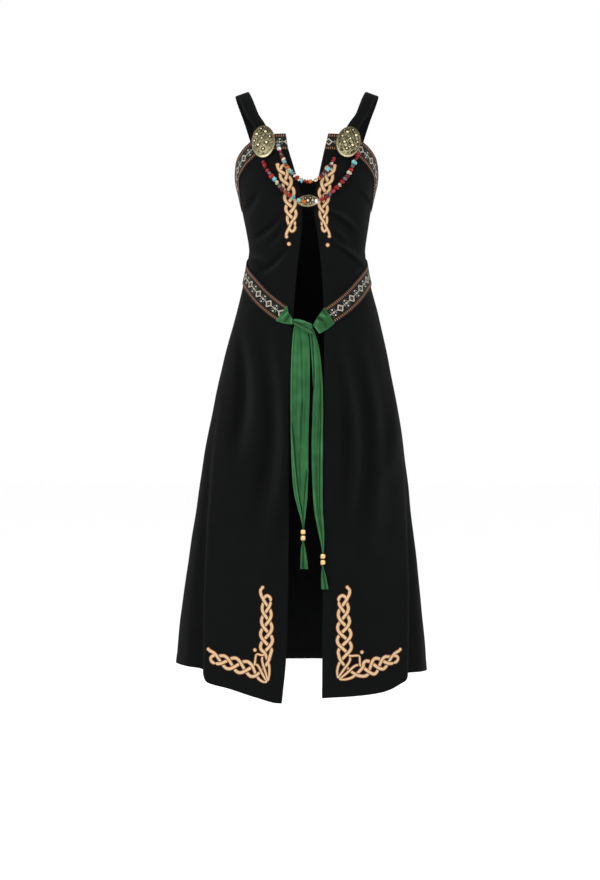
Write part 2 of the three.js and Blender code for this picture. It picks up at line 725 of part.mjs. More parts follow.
function broochHeight(r, turn) {
  const [x, y] = [r * Math.cos(turn), r * Math.sin(turn)];
  let height = dome(BROOCH, r) + BOSS_RING.height * bell(r / BOSS_RING.spread);
  for (let i = 0; i < BOSS_RING.count; i++) {
    const a = (2 * Math.PI * (i + 0.5)) / BOSS_RING.count;
    const away = Math.hypot(x - BOSS_RING.share * Math.cos(a), y - BOSS_RING.share * Math.sin(a));
    height += BOSS_RING.height * bell(away / BOSS_RING.spread);
  }
  return height;
}

const claspHeight = (r, turn) => dome(CLASP, r) + 0.7 * Math.cos(6 * turn) * Math.sin(Math.PI * r);

// Lays a piece modelled in its own plane on the front: x across, y up, z away from the body.
function layOnFront(mesh, x, height, lift, lean) {
  const angle = angleAt(x, height);
  const out = outward(angle, height);
  const across = new THREE.Vector3(0, 0, 1).cross(out).normalize();
  const up = out.clone().cross(across);
  mesh.quaternion.setFromRotationMatrix(new THREE.Matrix4().makeBasis(across, up, out));
  mesh.rotateZ(-radians(lean));
  mesh.position.copy(offForm(angle, height, lift));
  return mesh;
}

const BROOCH_LIFT = RIBBON_LIFT + STRAP.thickness + 4 * LAYER_GAP;
function brooch(side, x, height, lean) {
  const geometry = ovalRelief(BROOCH, broochHeight, 7, 28);
  return layOnFront(named(`brooch_${side}`, geometry, bronze()), x, height, BROOCH_LIFT, lean);
}

const CLASP_LIFT = EMBROIDERY.chestLift + EMBROIDERY.thickness + LAYER_GAP;
function clasp() {
  const geometry = ovalRelief(CLASP, claspHeight, 5, 24);
  return layOnFront(named('clasp', geometry, bronze()), 1.5, -240, CLASP_LIFT, -2);
}

// ---------------------------------------------------------------------------------------------
// Strings of beads

function beadString(name, route) {
  const path = new THREE.CatmullRomCurve3(route.map((p) => new THREE.Vector3(...p)));
  const circle = new THREE.Shape();
  for (let i = 0; i < BEAD_STRING.sides; i++) {
    const turn = (2 * Math.PI * i) / BEAD_STRING.sides;
    const r = BEAD_STRING.diameter / 2;
    if (i === 0) circle.moveTo(r, 0);
    else circle.lineTo(r * Math.cos(turn), r * Math.sin(turn));
  }
  const steps = Math.round(path.getLength() / (1.6 * BEAD_STRING.diameter));
  const geometry = new THREE.ExtrudeGeometry(circle, { extrudePath: path, steps, bevelEnabled: false });
  return named(name, geometry, mixedStone());
}

// ---------------------------------------------------------------------------------------------
// Belt

const BELT_STEPS = 44;
const BAND_GAP = 0.15; // degrees between the band's ends and the cloth sewn to them

// A point of the belt's band, at a signed distance above its centre line, square to the line.
function beltPoint(angle, above) {
  const span = form(angle + 1, beltHeight(angle)).distanceTo(form(angle - 1, beltHeight(angle)));
  const rise = beltHeight(angle + 1) - beltHeight(angle - 1);
  const slope = Math.atan2(rise, span);
  const perDegree = span / 2;
  return {
    angle: angle - (above * Math.sin(slope)) / perDegree,
    height: beltHeight(angle) + above * Math.cos(slope),
  };
}

function beltBand() {
  const angles = Array.from(
    { length: BELT_STEPS + 1 },
    (_, i) => BELT.leftEnd + ((360 - BELT.leftEnd - BELT.rightEnd) * i) / BELT_STEPS,
  );
  const rows = [BELT.width / 2, 0, -BELT.width / 2];
  const grid = rows.map((above) => angles.map((angle) => beltPoint(angle, above)));
  return named('belt_band', layer(grid, BELT.lift, BELT.lift + BELT.thickness), ribbon());
}

// The cloth sewn to an end of the band starts at the band's own corners, a seam's gap away.
function bandCorners(angle) {
  const corner = (above) => {
    const p = beltPoint(angle, above);
    return [form(p.angle, p.height).x, p.height];
  };
  return { upper: corner(BELT.width / 2), lower: corner(-BELT.width / 2), lift: BELT.lift };
}

function beltEnd(name, stations) {
  const grid = (extra) =>
    [0, 0.5, 1].map((share) =>
      stations.map(({ upper, lower, lift }) => {
        const x = THREE.MathUtils.lerp(upper[0], lower[0], share);
        const z = THREE.MathUtils.lerp(upper[1], lower[1], share);
        return offFront(x, z, lift + extra);
      }),
    );
  return named(name, wall(grid(BELT.thickness), grid(0)), green());
}

const KNOT_SIDES = 12;
const KNOT_LIFT = 3.8; // clear of the ties, which come out from behind it
function knot() {
  const rings = KNOT.map(({ x, z, halfHeight, halfDepth }) => {
    const centre = offFront(x, z, KNOT_LIFT + halfDepth);
    return Array.from({ length: KNOT_SIDES }, (_, i) => {
      const turn = (2 * Math.PI * i) / KNOT_SIDES;
      const rise = halfHeight * Math.sin(turn);
      return new THREE.Vector3(x, centre.y - halfDepth * Math.cos(turn), z - rise);
    });
  });
  return named('belt_knot', loft(rings), green());
}

// A tie hangs in three shallow folds, which close where it is drawn through its beads.
const TIE_COLUMNS = 4;
const TIE_FOLD = 1.1;
function tie(name, stations) {
  const at = smoothTable(stations, 'height');
  const heights = [];
  stations.forEach(({ height }, i) => {
    if (i > 0) heights.push((stations[i - 1].height + height) / 2);
    heights.push(height);
  });
  const face = (extra) =>
    heights.map((height) => {
      const [from, to] = [at(height, 'from'), at(height, 'to')];
      const open = THREE.MathUtils.clamp((to - from) / 20, 0, 1);
      return Array.from({ length: TIE_COLUMNS + 1 }, (_, c) => {
        const x = THREE.MathUtils.lerp(from, to, c / TIE_COLUMNS);
        const fold = TIE_FOLD * open * (c % 2);
        return offFront(x, height, at(height, 'lift') + fold + extra);
      });
    });
  return named(name, wall(face(TIE.thickness), face(0)), green());
}

function tieBead({ name, x, z, lift }) {
  const { radius, height, bore } = TIE_BEAD;
  const profile = [];
  for (let i = 0; i <= 6; i++) {
    const turn = -Math.PI / 2 + (Math.PI * i) / 6;
    const r = bore + 0.8 + (radius - bore - 0.8) * Math.cos(turn);
    profile.push(new THREE.Vector2(r, (height / 2) * Math.sin(turn)));
  }
  profile.push(new THREE.Vector2(bore, height / 2 - 0.6));
  profile.push(new THREE.Vector2(bore, -height / 2 + 0.6));
  profile.push(profile[0].clone());
  const geometry = new THREE.LatheGeometry(profile, 12);
  const mesh = named(name, geometry, gold());
  mesh.rotation.x = Math.PI / 2;
  mesh.position.copy(offFront(x, z, lift));
  return mesh;
}

// ---------------------------------------------------------------------------------------------
// The whole dress

const dress = new THREE.Group();
dress.add(
  ...dressPanels(),
  strap('left'),
  strap('right'),
  chestEmbroidery('left'),
  chestEmbroidery('right'),
  hemEmbroidery('left'),
  hemEmbroidery('right'),
  brooch('left', 83, -120, 18),
  brooch('right', -88, -118, -6),
  clasp(),
  beadString('bead_string_upper', UPPER_STRING),
  beadString('bead_string_lower', LOWER_STRING),
  beltBand(),
  beltEnd('belt_end_left', [...LEFT_END, bandCorners(BELT.leftEnd - BAND_GAP)]),
  beltEnd('belt_end_right', [bandCorners(-BELT.rightEnd + BAND_GAP), ...RIGHT_END]),
  knot(),
  tie('tie_left', LEFT_TIE),
  tie('tie_right', RIGHT_TIE),
  ...TIE_BEADS.map(tieBead),
);

export default dress;
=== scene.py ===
"""An apron dress, dressed in wool, woven ribbon, plaited embroidery and bronze.

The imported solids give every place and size. The cloth is rebuilt from their rows of points as
thin, creased shells, and everything else is laid on that cloth.
"""

import json
import math
import random

import bmesh
import bpy
import numpy as np
from bpy.props import FloatProperty, FloatVectorProperty, PointerProperty
from bpy.types import Operator, Panel, PropertyGroup
from mathutils import Matrix, Vector, noise
from mathutils.bvhtree import BVHTree

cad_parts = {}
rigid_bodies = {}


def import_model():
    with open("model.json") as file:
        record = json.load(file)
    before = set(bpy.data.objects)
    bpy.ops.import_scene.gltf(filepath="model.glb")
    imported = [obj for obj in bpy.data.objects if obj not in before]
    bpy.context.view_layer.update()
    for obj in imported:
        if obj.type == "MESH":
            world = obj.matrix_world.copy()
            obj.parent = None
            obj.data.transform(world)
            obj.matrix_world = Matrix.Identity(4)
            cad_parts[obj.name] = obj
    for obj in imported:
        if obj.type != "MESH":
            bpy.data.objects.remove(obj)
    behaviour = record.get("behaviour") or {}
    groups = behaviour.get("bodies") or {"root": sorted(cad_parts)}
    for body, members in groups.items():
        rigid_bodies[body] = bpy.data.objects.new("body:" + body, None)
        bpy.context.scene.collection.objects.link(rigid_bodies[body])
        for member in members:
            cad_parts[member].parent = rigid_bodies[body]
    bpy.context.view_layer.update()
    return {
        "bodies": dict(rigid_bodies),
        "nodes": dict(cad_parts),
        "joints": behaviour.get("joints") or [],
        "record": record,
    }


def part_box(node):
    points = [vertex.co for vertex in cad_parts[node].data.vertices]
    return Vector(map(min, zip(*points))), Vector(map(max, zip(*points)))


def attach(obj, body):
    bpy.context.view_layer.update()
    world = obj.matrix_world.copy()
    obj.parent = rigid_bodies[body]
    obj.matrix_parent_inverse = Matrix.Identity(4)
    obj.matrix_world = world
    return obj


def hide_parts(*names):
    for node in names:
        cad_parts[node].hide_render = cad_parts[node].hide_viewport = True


bl_info = {
    "name": "Apron Dress",
    "version": (1, 0, 0),
    "blender": (4, 5, 0),
    "location": "View3D > Sidebar > Apron Dress",
    "description": "Finishes an apron dress in cloth, ribbon, embroidery, beads and bronze",
    "category": "Add Mesh",
}

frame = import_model()
MM = 0.001

# ----------------------------------------------------------------------------------------------
# Tables, in millimetres. Sides are the wearer's: left is +X, and the front faces -Y.

# Creases of the fronts: pulled folds as seen from the front, from (x, z) to (x, z).
FRONT_CREASES = [
    # x, z, to x, to z, depth, width
    (-52, -266, -116, -312, 2.3, 4.8),
    (-44, -336, -102, -382, 2.2, 4.8),
    (-50, -292, -86, -322, 1.2, 4.6),
    (-101, -215, -138, -262, 1.8, 6.0),
    (44, -264, 100, -300, 2.2, 4.8),
    (52, -326, 119, -377, 2.4, 4.8),
    (46, -296, 82, -328, 1.2, 4.6),
    (104, -214, 140, -256, 1.7, 6.0),
    (-128, -352, -88, -372, 1.5, 6.0),
    (128, -350, 92, -374, 1.6, 6.0),
    (-146, -498, -158, -760, 2.4, 11.0),
    (-96, -520, -112, -900, 1.6, 15.0),
    (-52, -560, -66, -980, 1.3, 14.0),
    (150, -500, 160, -800, 2.2, 11.0),
    (98, -520, 112, -940, 1.6, 15.0),
    (58, -540, 64, -900, 1.2, 13.0),
]

# The same for the back, as (x, z) seen through from the front.
BACK_CREASES = [
    (-114, -250, -66, -296, 2.2, 6.5),
    (-118, -292, -78, -328, 1.9, 6.0),
    (-40, -286, 14, -314, 1.5, 7.0),
    (116, -244, 70, -288, 2.3, 6.5),
    (116, -296, 80, -330, 1.7, 6.0),
    (-92, -388, -74, -470, 2.0, 8.0),
    (-30, -378, -24, -452, 1.6, 9.0),
    (34, -380, 28, -466, 1.8, 8.5),
    (96, -390, 80, -464, 1.9, 8.0),
    (-60, -205, -58, -262, 1.2, 8.0),
    (62, -203, 55, -258, 1.3, 8.0),
]

# The chest's plaits: a centre line from the top down as (x, z, how far a strand swings), the
# length in which a strand swings out and back, and where the dot below the plait lies.
CHEST_PLAITS = {
    "right": (
        [
            (-47.5, -185.5, 9.0), (-43.5, -196, 9.4), (-37.2, -222, 10), (-33.6, -250, 10.4),
            (-32.2, -270, 9.4), (-32, -283.5, 7.4),
        ],
        72,
        (-37, -326.5),
    ),
    "left": (
        [
            (44, -188.5, 9.0), (41, -198, 9.4), (35.2, -219, 10), (32.8, -244, 9.2),
            (33, -264, 7.6), (34.8, -283.5, 5.6),
        ],
        69,
        (41.8, -328.5),
    ),
}

# A three-strand plait ends in a turn that joins two strands, and a tail. Places are (beyond
# the plait, towards the turn's side), in swings for the second.
TOP_TURN = [
    (4.5, -0.69), (8.5, -0.45), (12.5, -0.1), (15.2, 0.35), (14.6, 0.82), (11, 1.02), (6, 0.92),
]
TOP_TAIL = [(4.2, -0.35), (8.5, -0.66), (14.8, -0.78), (20.8, -0.62)]
LOW_TURN = [
    (4.5, -0.69), (9.5, -0.62), (14.6, -0.42), (17.6, 0.1), (15.6, 0.66), (11, 0.95), (6, 0.96),
]
LOW_TAIL = [(5.2, -0.3), (10.5, -0.66), (17, -1.12), (23, -1.44), (28, -1.4)]
HEM_TAIL = [(6.2, -0.5), (13, -0.95), (20, -1.32), (28, -1.4), (34, -0.95)]
SIDE_TAIL = [(6.2, -0.6), (12, -1.0), (18, -1.2), (23.5, -1.3), (27, -1.5)]

# The hem's corners: where the tips lie, and how a step out and a step up along the corner map
# to x and z. Then the far end of the upright and of the level plait, each with how far its
# strands swing from there to the corner.
HEM_CORNERS = {
    "right": (
        (-79, -1217.5), (-0.66, 0.2), (0.12, 1.1),
        ((-82, -1061), (8.5, 10, 12, 11.5)), ((-178, -1175), (9.5, 12.5, 13.2, 12)),
    ),
    "left": (
        (61, -1211.5), (1.0, 0.075), (0.0, 1.0),
        ((72.5, -1061), (9.5, 11.5, 14, 13.6)), ((167, -1176.5), (8.5, 12.5, 15.5, 14)),
    ),
}

# One half of the hem's corner as (out, up, over, share of the strand's width): the other half
# swaps out and up.
CORNER_IN = [
    (20.2, 51, 0.9, 1), (7.4, 38, -0.9, 0.92), (1.4, 28, 0, 0.8), (-0.9, 17, 0, 0.72),
    (-0.5, 8, 0, 0.6), (0.6, 2.6, 0, 0.5),
]
CORNER_RISE = [
    (0.6, 2.6, 0, 0.5), (7.6, 13, 0.3, 0.68), (15, 22.6, 0.9, 0.78), (21.5, 30.5, 0.3, 0.74),
    (25, 37.5, 0, 0.7), (24.6, 43, -0.8, 0.66),
]
CORNER_TOP = [
    (20.2, 51, -0.9, 0.9), (24.6, 45.4, 0, 0.7), (34, 44.6, 0.4, 0.66), (44, 44, 0.4, 0.6),
]
CORNER_ACROSS = [
    (1.5, 52, 0, 1), (4.9, 39.5, 0.9, 0.95), (13.6, 27.4, -0.9, 0.85), (20.5, 20.5, -0.6, 0.8),
]

# Where the upright plait's middle meets the corner, and where the dot inside the corner lies.
CORNER_JOINT = (14, 51)
CORNER_DOT = (49, 50)

# The routes of the two bead strings, from the wearer's right brooch to the left one.
UPPER_STRING = [
    (-60.5, -104, -125), (-54, -108.5, -142), (-49, -114, -156), (-43, -119.7, -169),
    (-36, -122.2, -179), (-27, -124, -190), (-14, -124.5, -199), (4, -124.5, -203.5),
    (21, -124.5, -197.5), (34, -123.6, -187), (44, -121.6, -174.5), (51, -118.5, -163),
    (56, -114, -153),
]
LOWER_STRING = [
    (-91, -104.5, -158), (-85, -112, -172), (-78, -118.5, -184), (-67, -121.5, -198),
    (-56, -121.5, -213), (-43, -120, -226), (-28, -120, -236), (-14, -122.5, -242.5),
    (4, -124, -245), (24, -122, -242), (34, -119.5, -236), (46, -118.5, -228),
    (62, -118.5, -213), (76, -118, -198), (88, -113.5, -180), (94.5, -107, -166),
    (100.5, -100, -152), (107, -92, -138),
]

# The order of the beads along each string, by their colour, with a bead's share of the usual
# length where it has its own. Where it says bare, the thread shows.
UPPER_BEADS = (
    "slate quartz coral smoke garnet shell turquoise umber amber shell*0.6 turquoise*1.2 "
    "slate quartz*0.8 coral*1.2 shell*0.7 turquoise rose*0.8 coral*0.8 amber*1.2 bare*0.4 "
    "shell bare*0.3 amber garnet smoke*0.8 garnet turquoise*1.3 garnet shell coral coral"
).split()
LOWER_BEADS = (
    "rose coral garnet coral smoke coral*1.2 turquoise shell*1.2 smoke*1.2 garnet umber*1.2 "
    "coral*1.2 turquoise*1.2 bare*0.5 turquoise amber*1.4 bare*0.5 smoke*0.4 bare*0.4 "
    "slate*0.4 bare*0.5 quartz bare*0.5 coral*1.3 garnet*1.1 smoke rose*1.2 coral*1.2 shell "
    "coral smoke garnet shell coral smoke turquoise*1.5 coral coral rose"
).split()

# A bronze's shape: half its width and height, the rim's height, how far the dome rises above it,
# and the share of the oval where the dome ends and the plain band begins.
BROOCH_SHAPE = (25.2, 38.0, 1.8, 8.0, 0.9)
CLASP_SHAPE = (22.0, 12.0, 1.4, 3.2, 0.88)

# The bosses as (x, y, radius), and the pairs of them that a brooch's lattice joins.
BROOCH_BOSSES = [
    (0, 2.5, 2.3), (-9.6, 15.8, 3.0), (9.1, 16.6, 3.0), (-9.1, -10.2, 2.9), (8.7, -9.8, 3.0),
    (-16.6, 2.5, 2.1), (16.6, 3, 2.1), (0, 27, 2.0), (0, -22, 2.1),
]
BROOCH_LATTICE = [
    (0, 1), (0, 2), (0, 3), (0, 4), (7, 1), (7, 2), (8, 3), (8, 4), (5, 1), (5, 3), (6, 2), (6, 4),
]
CLASP_BOSSES = [
    (0, 0, 3.0), (-9.5, 0, 2.3), (9.5, 0, 2.3), (-4.8, 5.4, 1.4), (4.8, 5.4, 1.4),
    (-4.8, -5.4, 1.4), (4.8, -5.4, 1.4), (-16, 0, 1.5), (16, 0, 1.5),
]

# Where each brooch's middle lies as (x, z), how far it leans in degrees, and the seed of its
# pits and grains.
BROOCHES = {"left": (83, -120, 18, 3), "right": (-88, -119, -6, 5)}

# Folds of the hanging ties, from (share of the length, share of the width) to the same, with
# the fold's width as a share and its height in millimetres, below zero for a trough.
TIE_FOLDS = {
    "right": [
        ((-0.02, 0.03), (0.84, 0.05), 0.03, 1.3), ((0.0, 0.10), (0.50, 0.11), 0.025, -1.3),
        ((0.42, 0.12), (0.86, 0.50), 0.035, -3.6), ((0.44, 0.05), (0.85, 0.38), 0.03, 1.7),
        ((0.60, 0.93), (0.86, 0.56), 0.035, -3.2), ((0.60, 0.99), (0.85, 0.68), 0.03, 1.5),
        ((0.74, 0.44), (0.87, 0.53), 0.06, -3.0), ((0.02, 0.50), (0.36, 0.64), 0.045, -1.0),
        ((0.04, 0.34), (0.42, 0.30), 0.05, -0.6), ((0.30, 0.62), (0.70, 0.46), 0.05, -1.1),
        ((0.12, 0.82), (0.44, 0.76), 0.04, -0.7), ((0.34, 0.40), (0.62, 0.60), 0.05, 0.7),
        ((0.88, 0.50), (1.02, 0.34), 0.07, -2.8), ((0.88, 0.7), (1.02, 0.85), 0.06, 0.9),
    ],
    "left": [
        ((-0.02, 0.46), (0.24, 0.02), 0.05, -3.4), ((0.0, 0.62), (0.27, 0.12), 0.04, 1.8),
        ((0.05, 0.82), (0.5, 0.46), 0.05, -1.2), ((0.2, 0.80), (0.87, 0.60), 0.045, -2.6),
        ((0.25, 0.91), (0.84, 0.76), 0.035, 1.4), ((0.3, 0.24), (0.8, 0.30), 0.05, -0.8),
        ((0.5, 0.42), (0.88, 0.46), 0.045, -2.2), ((0.6, 0.1), (0.87, 0.25), 0.04, 1.2),
        ((0.90, 0.45), (1.02, 0.62), 0.07, -2.8), ((0.90, 0.2), (1.02, 0.2), 0.06, 0.9),
    ],
}

# The same for the belt's green ends, which run from side to side.
END_FOLDS = {
    "right": [
        ((0.20, 0.20), (1.02, 0.42), 0.06, 1.5), ((0.10, 0.50), (1.0, 0.62), 0.11, -1.3),
        ((0.45, 0.05), (1.0, 0.28), 0.08, -1.0), ((-0.02, 0.94), (1.02, 0.90), 0.06, 1.7),
        ((-0.02, 0.03), (0.5, 0.03), 0.05, 0.8),
    ],
    "left": [
        ((-0.02, 0.40), (0.36, 0.24), 0.05, 1.4), ((-0.02, 0.56), (0.42, 0.44), 0.06, -1.9),
        ((-0.02, 0.74), (0.34, 0.68), 0.05, 1.2), ((-0.02, 0.16), (0.40, 0.10), 0.05, -1.4),
        ((0.2, 0.96), (1.02, 0.96), 0.05, 1.6), ((0.45, 0.42), (0.95, 0.56), 0.09, -0.6),
    ],
}

# The knot's pleats: place across it, width and depth in millimetres.
KNOT_PLEATS = [(-0.2, 0.34, 2.0), (0.5, 0.26, 1.5), (-0.85, 0.24, 1.3), (0.15, 0.16, 1.0)]


def colour(name, description, rgb):
    return FloatVectorProperty(
        name=name, description=description, default=rgb, size=3, min=0, max=1, subtype="COLOR"
    )


def length(name, description, metres):
    return FloatProperty(
        name=name, description=description, default=metres, min=0, precision=4, unit="LENGTH"
    )


class DressSizes(PropertyGroup):
    wool: length("Wool", "Thickness of the black cloth", 0.0015)
    hem: length("Hem", "Depth of the turned hem", 0.02)
    ribbon: length("Ribbon", "Thickness of the woven ribbon", 0.0009)
    ribbon_width: length("Ribbon width", "Width of the woven ribbon", 0.036)
    repeat: length("Repeat", "Length of one repeat of the ribbon's pattern", 0.0351)
    strand: length("Strand", "Width of an embroidered strand", 0.0061)
    outline: length("Outline", "How far the dark outline shows beside a strand", 0.0016)
    green: length("Green cloth", "Thickness of the belt's green cloth", 0.0013)
    thread: length("Thread", "Diameter of the thread in the bead strings", 0.0012)
    bead: length("Bead", "Width of a bead", 0.0094)


class DressColours(PropertyGroup):
    wool: colour("Wool", "Black wool", (0.0030, 0.0032, 0.0033))
    ribbon_ground: colour("Ribbon ground", "Ground of the ribbon", (0.0030, 0.0034, 0.0031))
    ribbon_rust: colour("Ribbon rust", "Borders of the ribbon", (0.105, 0.052, 0.028))
    ribbon_cream: colour("Ribbon cream", "Diamonds of the ribbon", (0.42, 0.385, 0.32))
    ribbon_dots: colour("Ribbon dots", "Small dots of the ribbon", (0.44, 0.48, 0.40))
    green: colour("Green", "Green cloth of the belt", (0.0175, 0.100, 0.029))
    # Painted highlight laid on the green cloth's ridges and rims.
    green_highlight: colour("Green edge", "Rubbed edges and folds of it", (0.070, 0.235, 0.090))
    peach: colour("Peach", "Embroidery thread", (0.80, 0.53, 0.295))
    rust: colour("Rust", "Outline of the embroidery", (0.10, 0.030, 0.009))
    bronze: colour("Bronze", "High points of the bronze", (0.78, 0.71, 0.46))
    dull_bronze: colour("Dull bronze", "The bronze between its high points", (0.14, 0.119, 0.060))
    patina: colour("Patina", "Hollows of the bronze", (0.016, 0.012, 0.005))
    gilt: colour("Gilt", "Beads of the ties", (0.74, 0.52, 0.22))
    coral: colour("Coral", "Coral beads", (0.30, 0.006, 0.010))
    garnet: colour("Garnet", "Garnet chips", (0.11, 0.004, 0.009))
    turquoise: colour("Turquoise", "Turquoise beads", (0.16, 0.46, 0.47))
    amber: colour("Amber", "Amber beads", (0.45, 0.105, 0.012))
    quartz: colour("Quartz", "Pale quartz chips", (0.72, 0.70, 0.68))
    smoke: colour("Smoke", "Smoky chips", (0.13, 0.10, 0.095))
    shell: colour("Shell", "Cream shell chips", (0.56, 0.47, 0.34))
    slate: colour("Slate", "Grey-blue chips", (0.16, 0.21, 0.23))
    rose: colour("Rose", "Rose chips", (0.24, 0.018, 0.040))
    umber: colour("Umber", "Rusty amber chips", (0.24, 0.055, 0.018))
    floor: colour("Floor", "Floor and backdrop", (1.0, 1.0, 1.0))


def sizes():
    return bpy.context.scene.dress_sizes


def colours():
    return bpy.context.scene.dress_colours


# ----------------------------------------------------------------------------------------------
# Materials


class Shading:
    """A material's node tree, with short ways to add its nodes."""

    def __init__(self, name, **constants):
        self.material = bpy.data.materials.new(name)
        self.material.use_nodes = True
        self.tree = self.material.node_tree
        self.shader = self.tree.nodes["Principled BSDF"]
        for socket, value in constants.items():
            self.shader.inputs[socket.replace("_", " ")].default_value = value

    def node(self, kind, output=0, inputs=(), **settings):
        made = self.tree.nodes.new(kind)
        for name, value in settings.items():
            setattr(made, name, value)
        for socket, value in dict(inputs).items():
            self.feed(made.inputs[socket], value)
        return made.outputs[output]

    def feed(self, socket, value):
        if isinstance(value, bpy.types.NodeSocket):
            self.tree.links.new(value, socket)
        elif socket.type == "RGBA" and len(value) == 3:
            socket.default_value = (*value, 1)
        else:
            socket.default_value = value

    def math(self, operation, *values, clamp=False):
        made = self.tree.nodes.new("ShaderNodeMath")
        made.operation, made.use_clamp = operation, clamp
        for socket, value in zip(made.inputs, values):
            self.feed(socket, value)
        return made.outputs[0]

    def mix(self, share, a, b):
        made = self.tree.nodes.new("ShaderNodeMix")
        made.data_type = "RGBA"
        for socket, value in zip((made.inputs[0], made.inputs[6], made.inputs[7]), (share, a, b)):
            self.feed(socket, value)
        return made.outputs[2]

    def uv(self):
        """The two distances of the piece's own map, in millimetres."""
        place = self.node("ShaderNodeUVMap", uv_map="cloth")
        split = self.tree.nodes.new("ShaderNodeSeparateXYZ")
        self.tree.links.new(place, split.inputs[0])
        return [self.math("MULTIPLY", split.outputs[i], 1000) for i in (0, 1)]

    def place(self):
        return self.node("ShaderNodeTexCoord", output="Object")

    def stored(self, name):
        """The value of that name that the piece keeps at each of its points."""
        return self.node("ShaderNodeAttribute", output="Fac", attribute_name=name)

    def grain(self, scale, detail=4.0, roughness=0.6, where=None):
        inputs = {"Scale": scale, "Detail": detail, "Roughness": roughness}
        inputs["Vector"] = self.place() if where is None else where
        return self.node("ShaderNodeTexNoise", inputs=inputs)

    def bump(self, height, distance, strength=1.0):
        made = self.node(
            "ShaderNodeBump", inputs={"Height": height, "Distance": distance, "Strength": strength}
        )
        self.tree.links.new(made, self.shader.inputs["Normal"])

    def colour(self, value):
        self.feed(self.shader.inputs["Base Color"], value)

    def between(self, value, low, high):
        """1 where the value lies between the two, and 0 elsewhere."""
        above = self.math("GREATER_THAN", value, low)
        return self.math("MULTIPLY", above, self.math("LESS_THAN", value, high))

    def any_of(self, *values):
        total = values[0]
        for value in values[1:]:
            total = self.math("MAXIMUM", total, value)
        return total


def weave(s, pitch):
    """The height of a plain weave with threads this many millimetres apart."""
    waves = [s.math("SINE", s.math("MULTIPLY", w, math.tau / pitch)) for w in s.uv()]
    return s.math("MULTIPLY", *waves)


def shade(rgb, factor):
    return tuple(min(1.0, c * factor) for c in rgb)


def wool_material():
    """Black wool: a fine twill under a short nap, with painted highlights on its crease ridges and
    painted shade in their troughs.
    """
    s = Shading("black_wool", Roughness=0.95, Specular_IOR_Level=0.06)
    u, v = s.uv()
    twill = s.math("SINE", s.math("MULTIPLY", s.math("ADD", u, v), math.tau / 1.1))
    thread = weave(s, 1.1)
    fibres = s.grain(900.0, 3.0, 0.7)
    cloud = s.grain(14.0, 3.0, 0.6)
    base = tuple(colours().wool)
    tone = s.mix(cloud, shade(base, 0.8), shade(base, 1.25))
    tone = s.mix(s.math("MULTIPLY", fibres, 0.35), tone, shade(base, 2.2))
    # Painted highlight on the crease ridges and painted shade in their troughs, read from the
    # stored fold values.
    fold = s.stored("fold")
    tone = s.mix(s.math("MULTIPLY", fold, 0.8, clamp=True), tone, shade(base, 3.2))
    s.colour(s.mix(s.math("MULTIPLY", fold, -0.7, clamp=True), tone, shade(base, 0.4)))
    relief = s.math("ADD", s.math("MULTIPLY", twill, 0.5), s.math("MULTIPLY", thread, 0.3))
    s.bump(s.math("ADD", relief, s.math("MULTIPLY", fibres, 1.6)), 0.00012, 0.8)
    return s.material


def stitch_material():
    s = Shading("black_thread", Roughness=0.6)
    s.colour(s.mix(s.grain(700.0), shade(colours().wool, 1.6), shade(colours().wool, 3.2)))
    s.bump(s.grain(2500.0), 0.0001, 0.5)
    return s.material


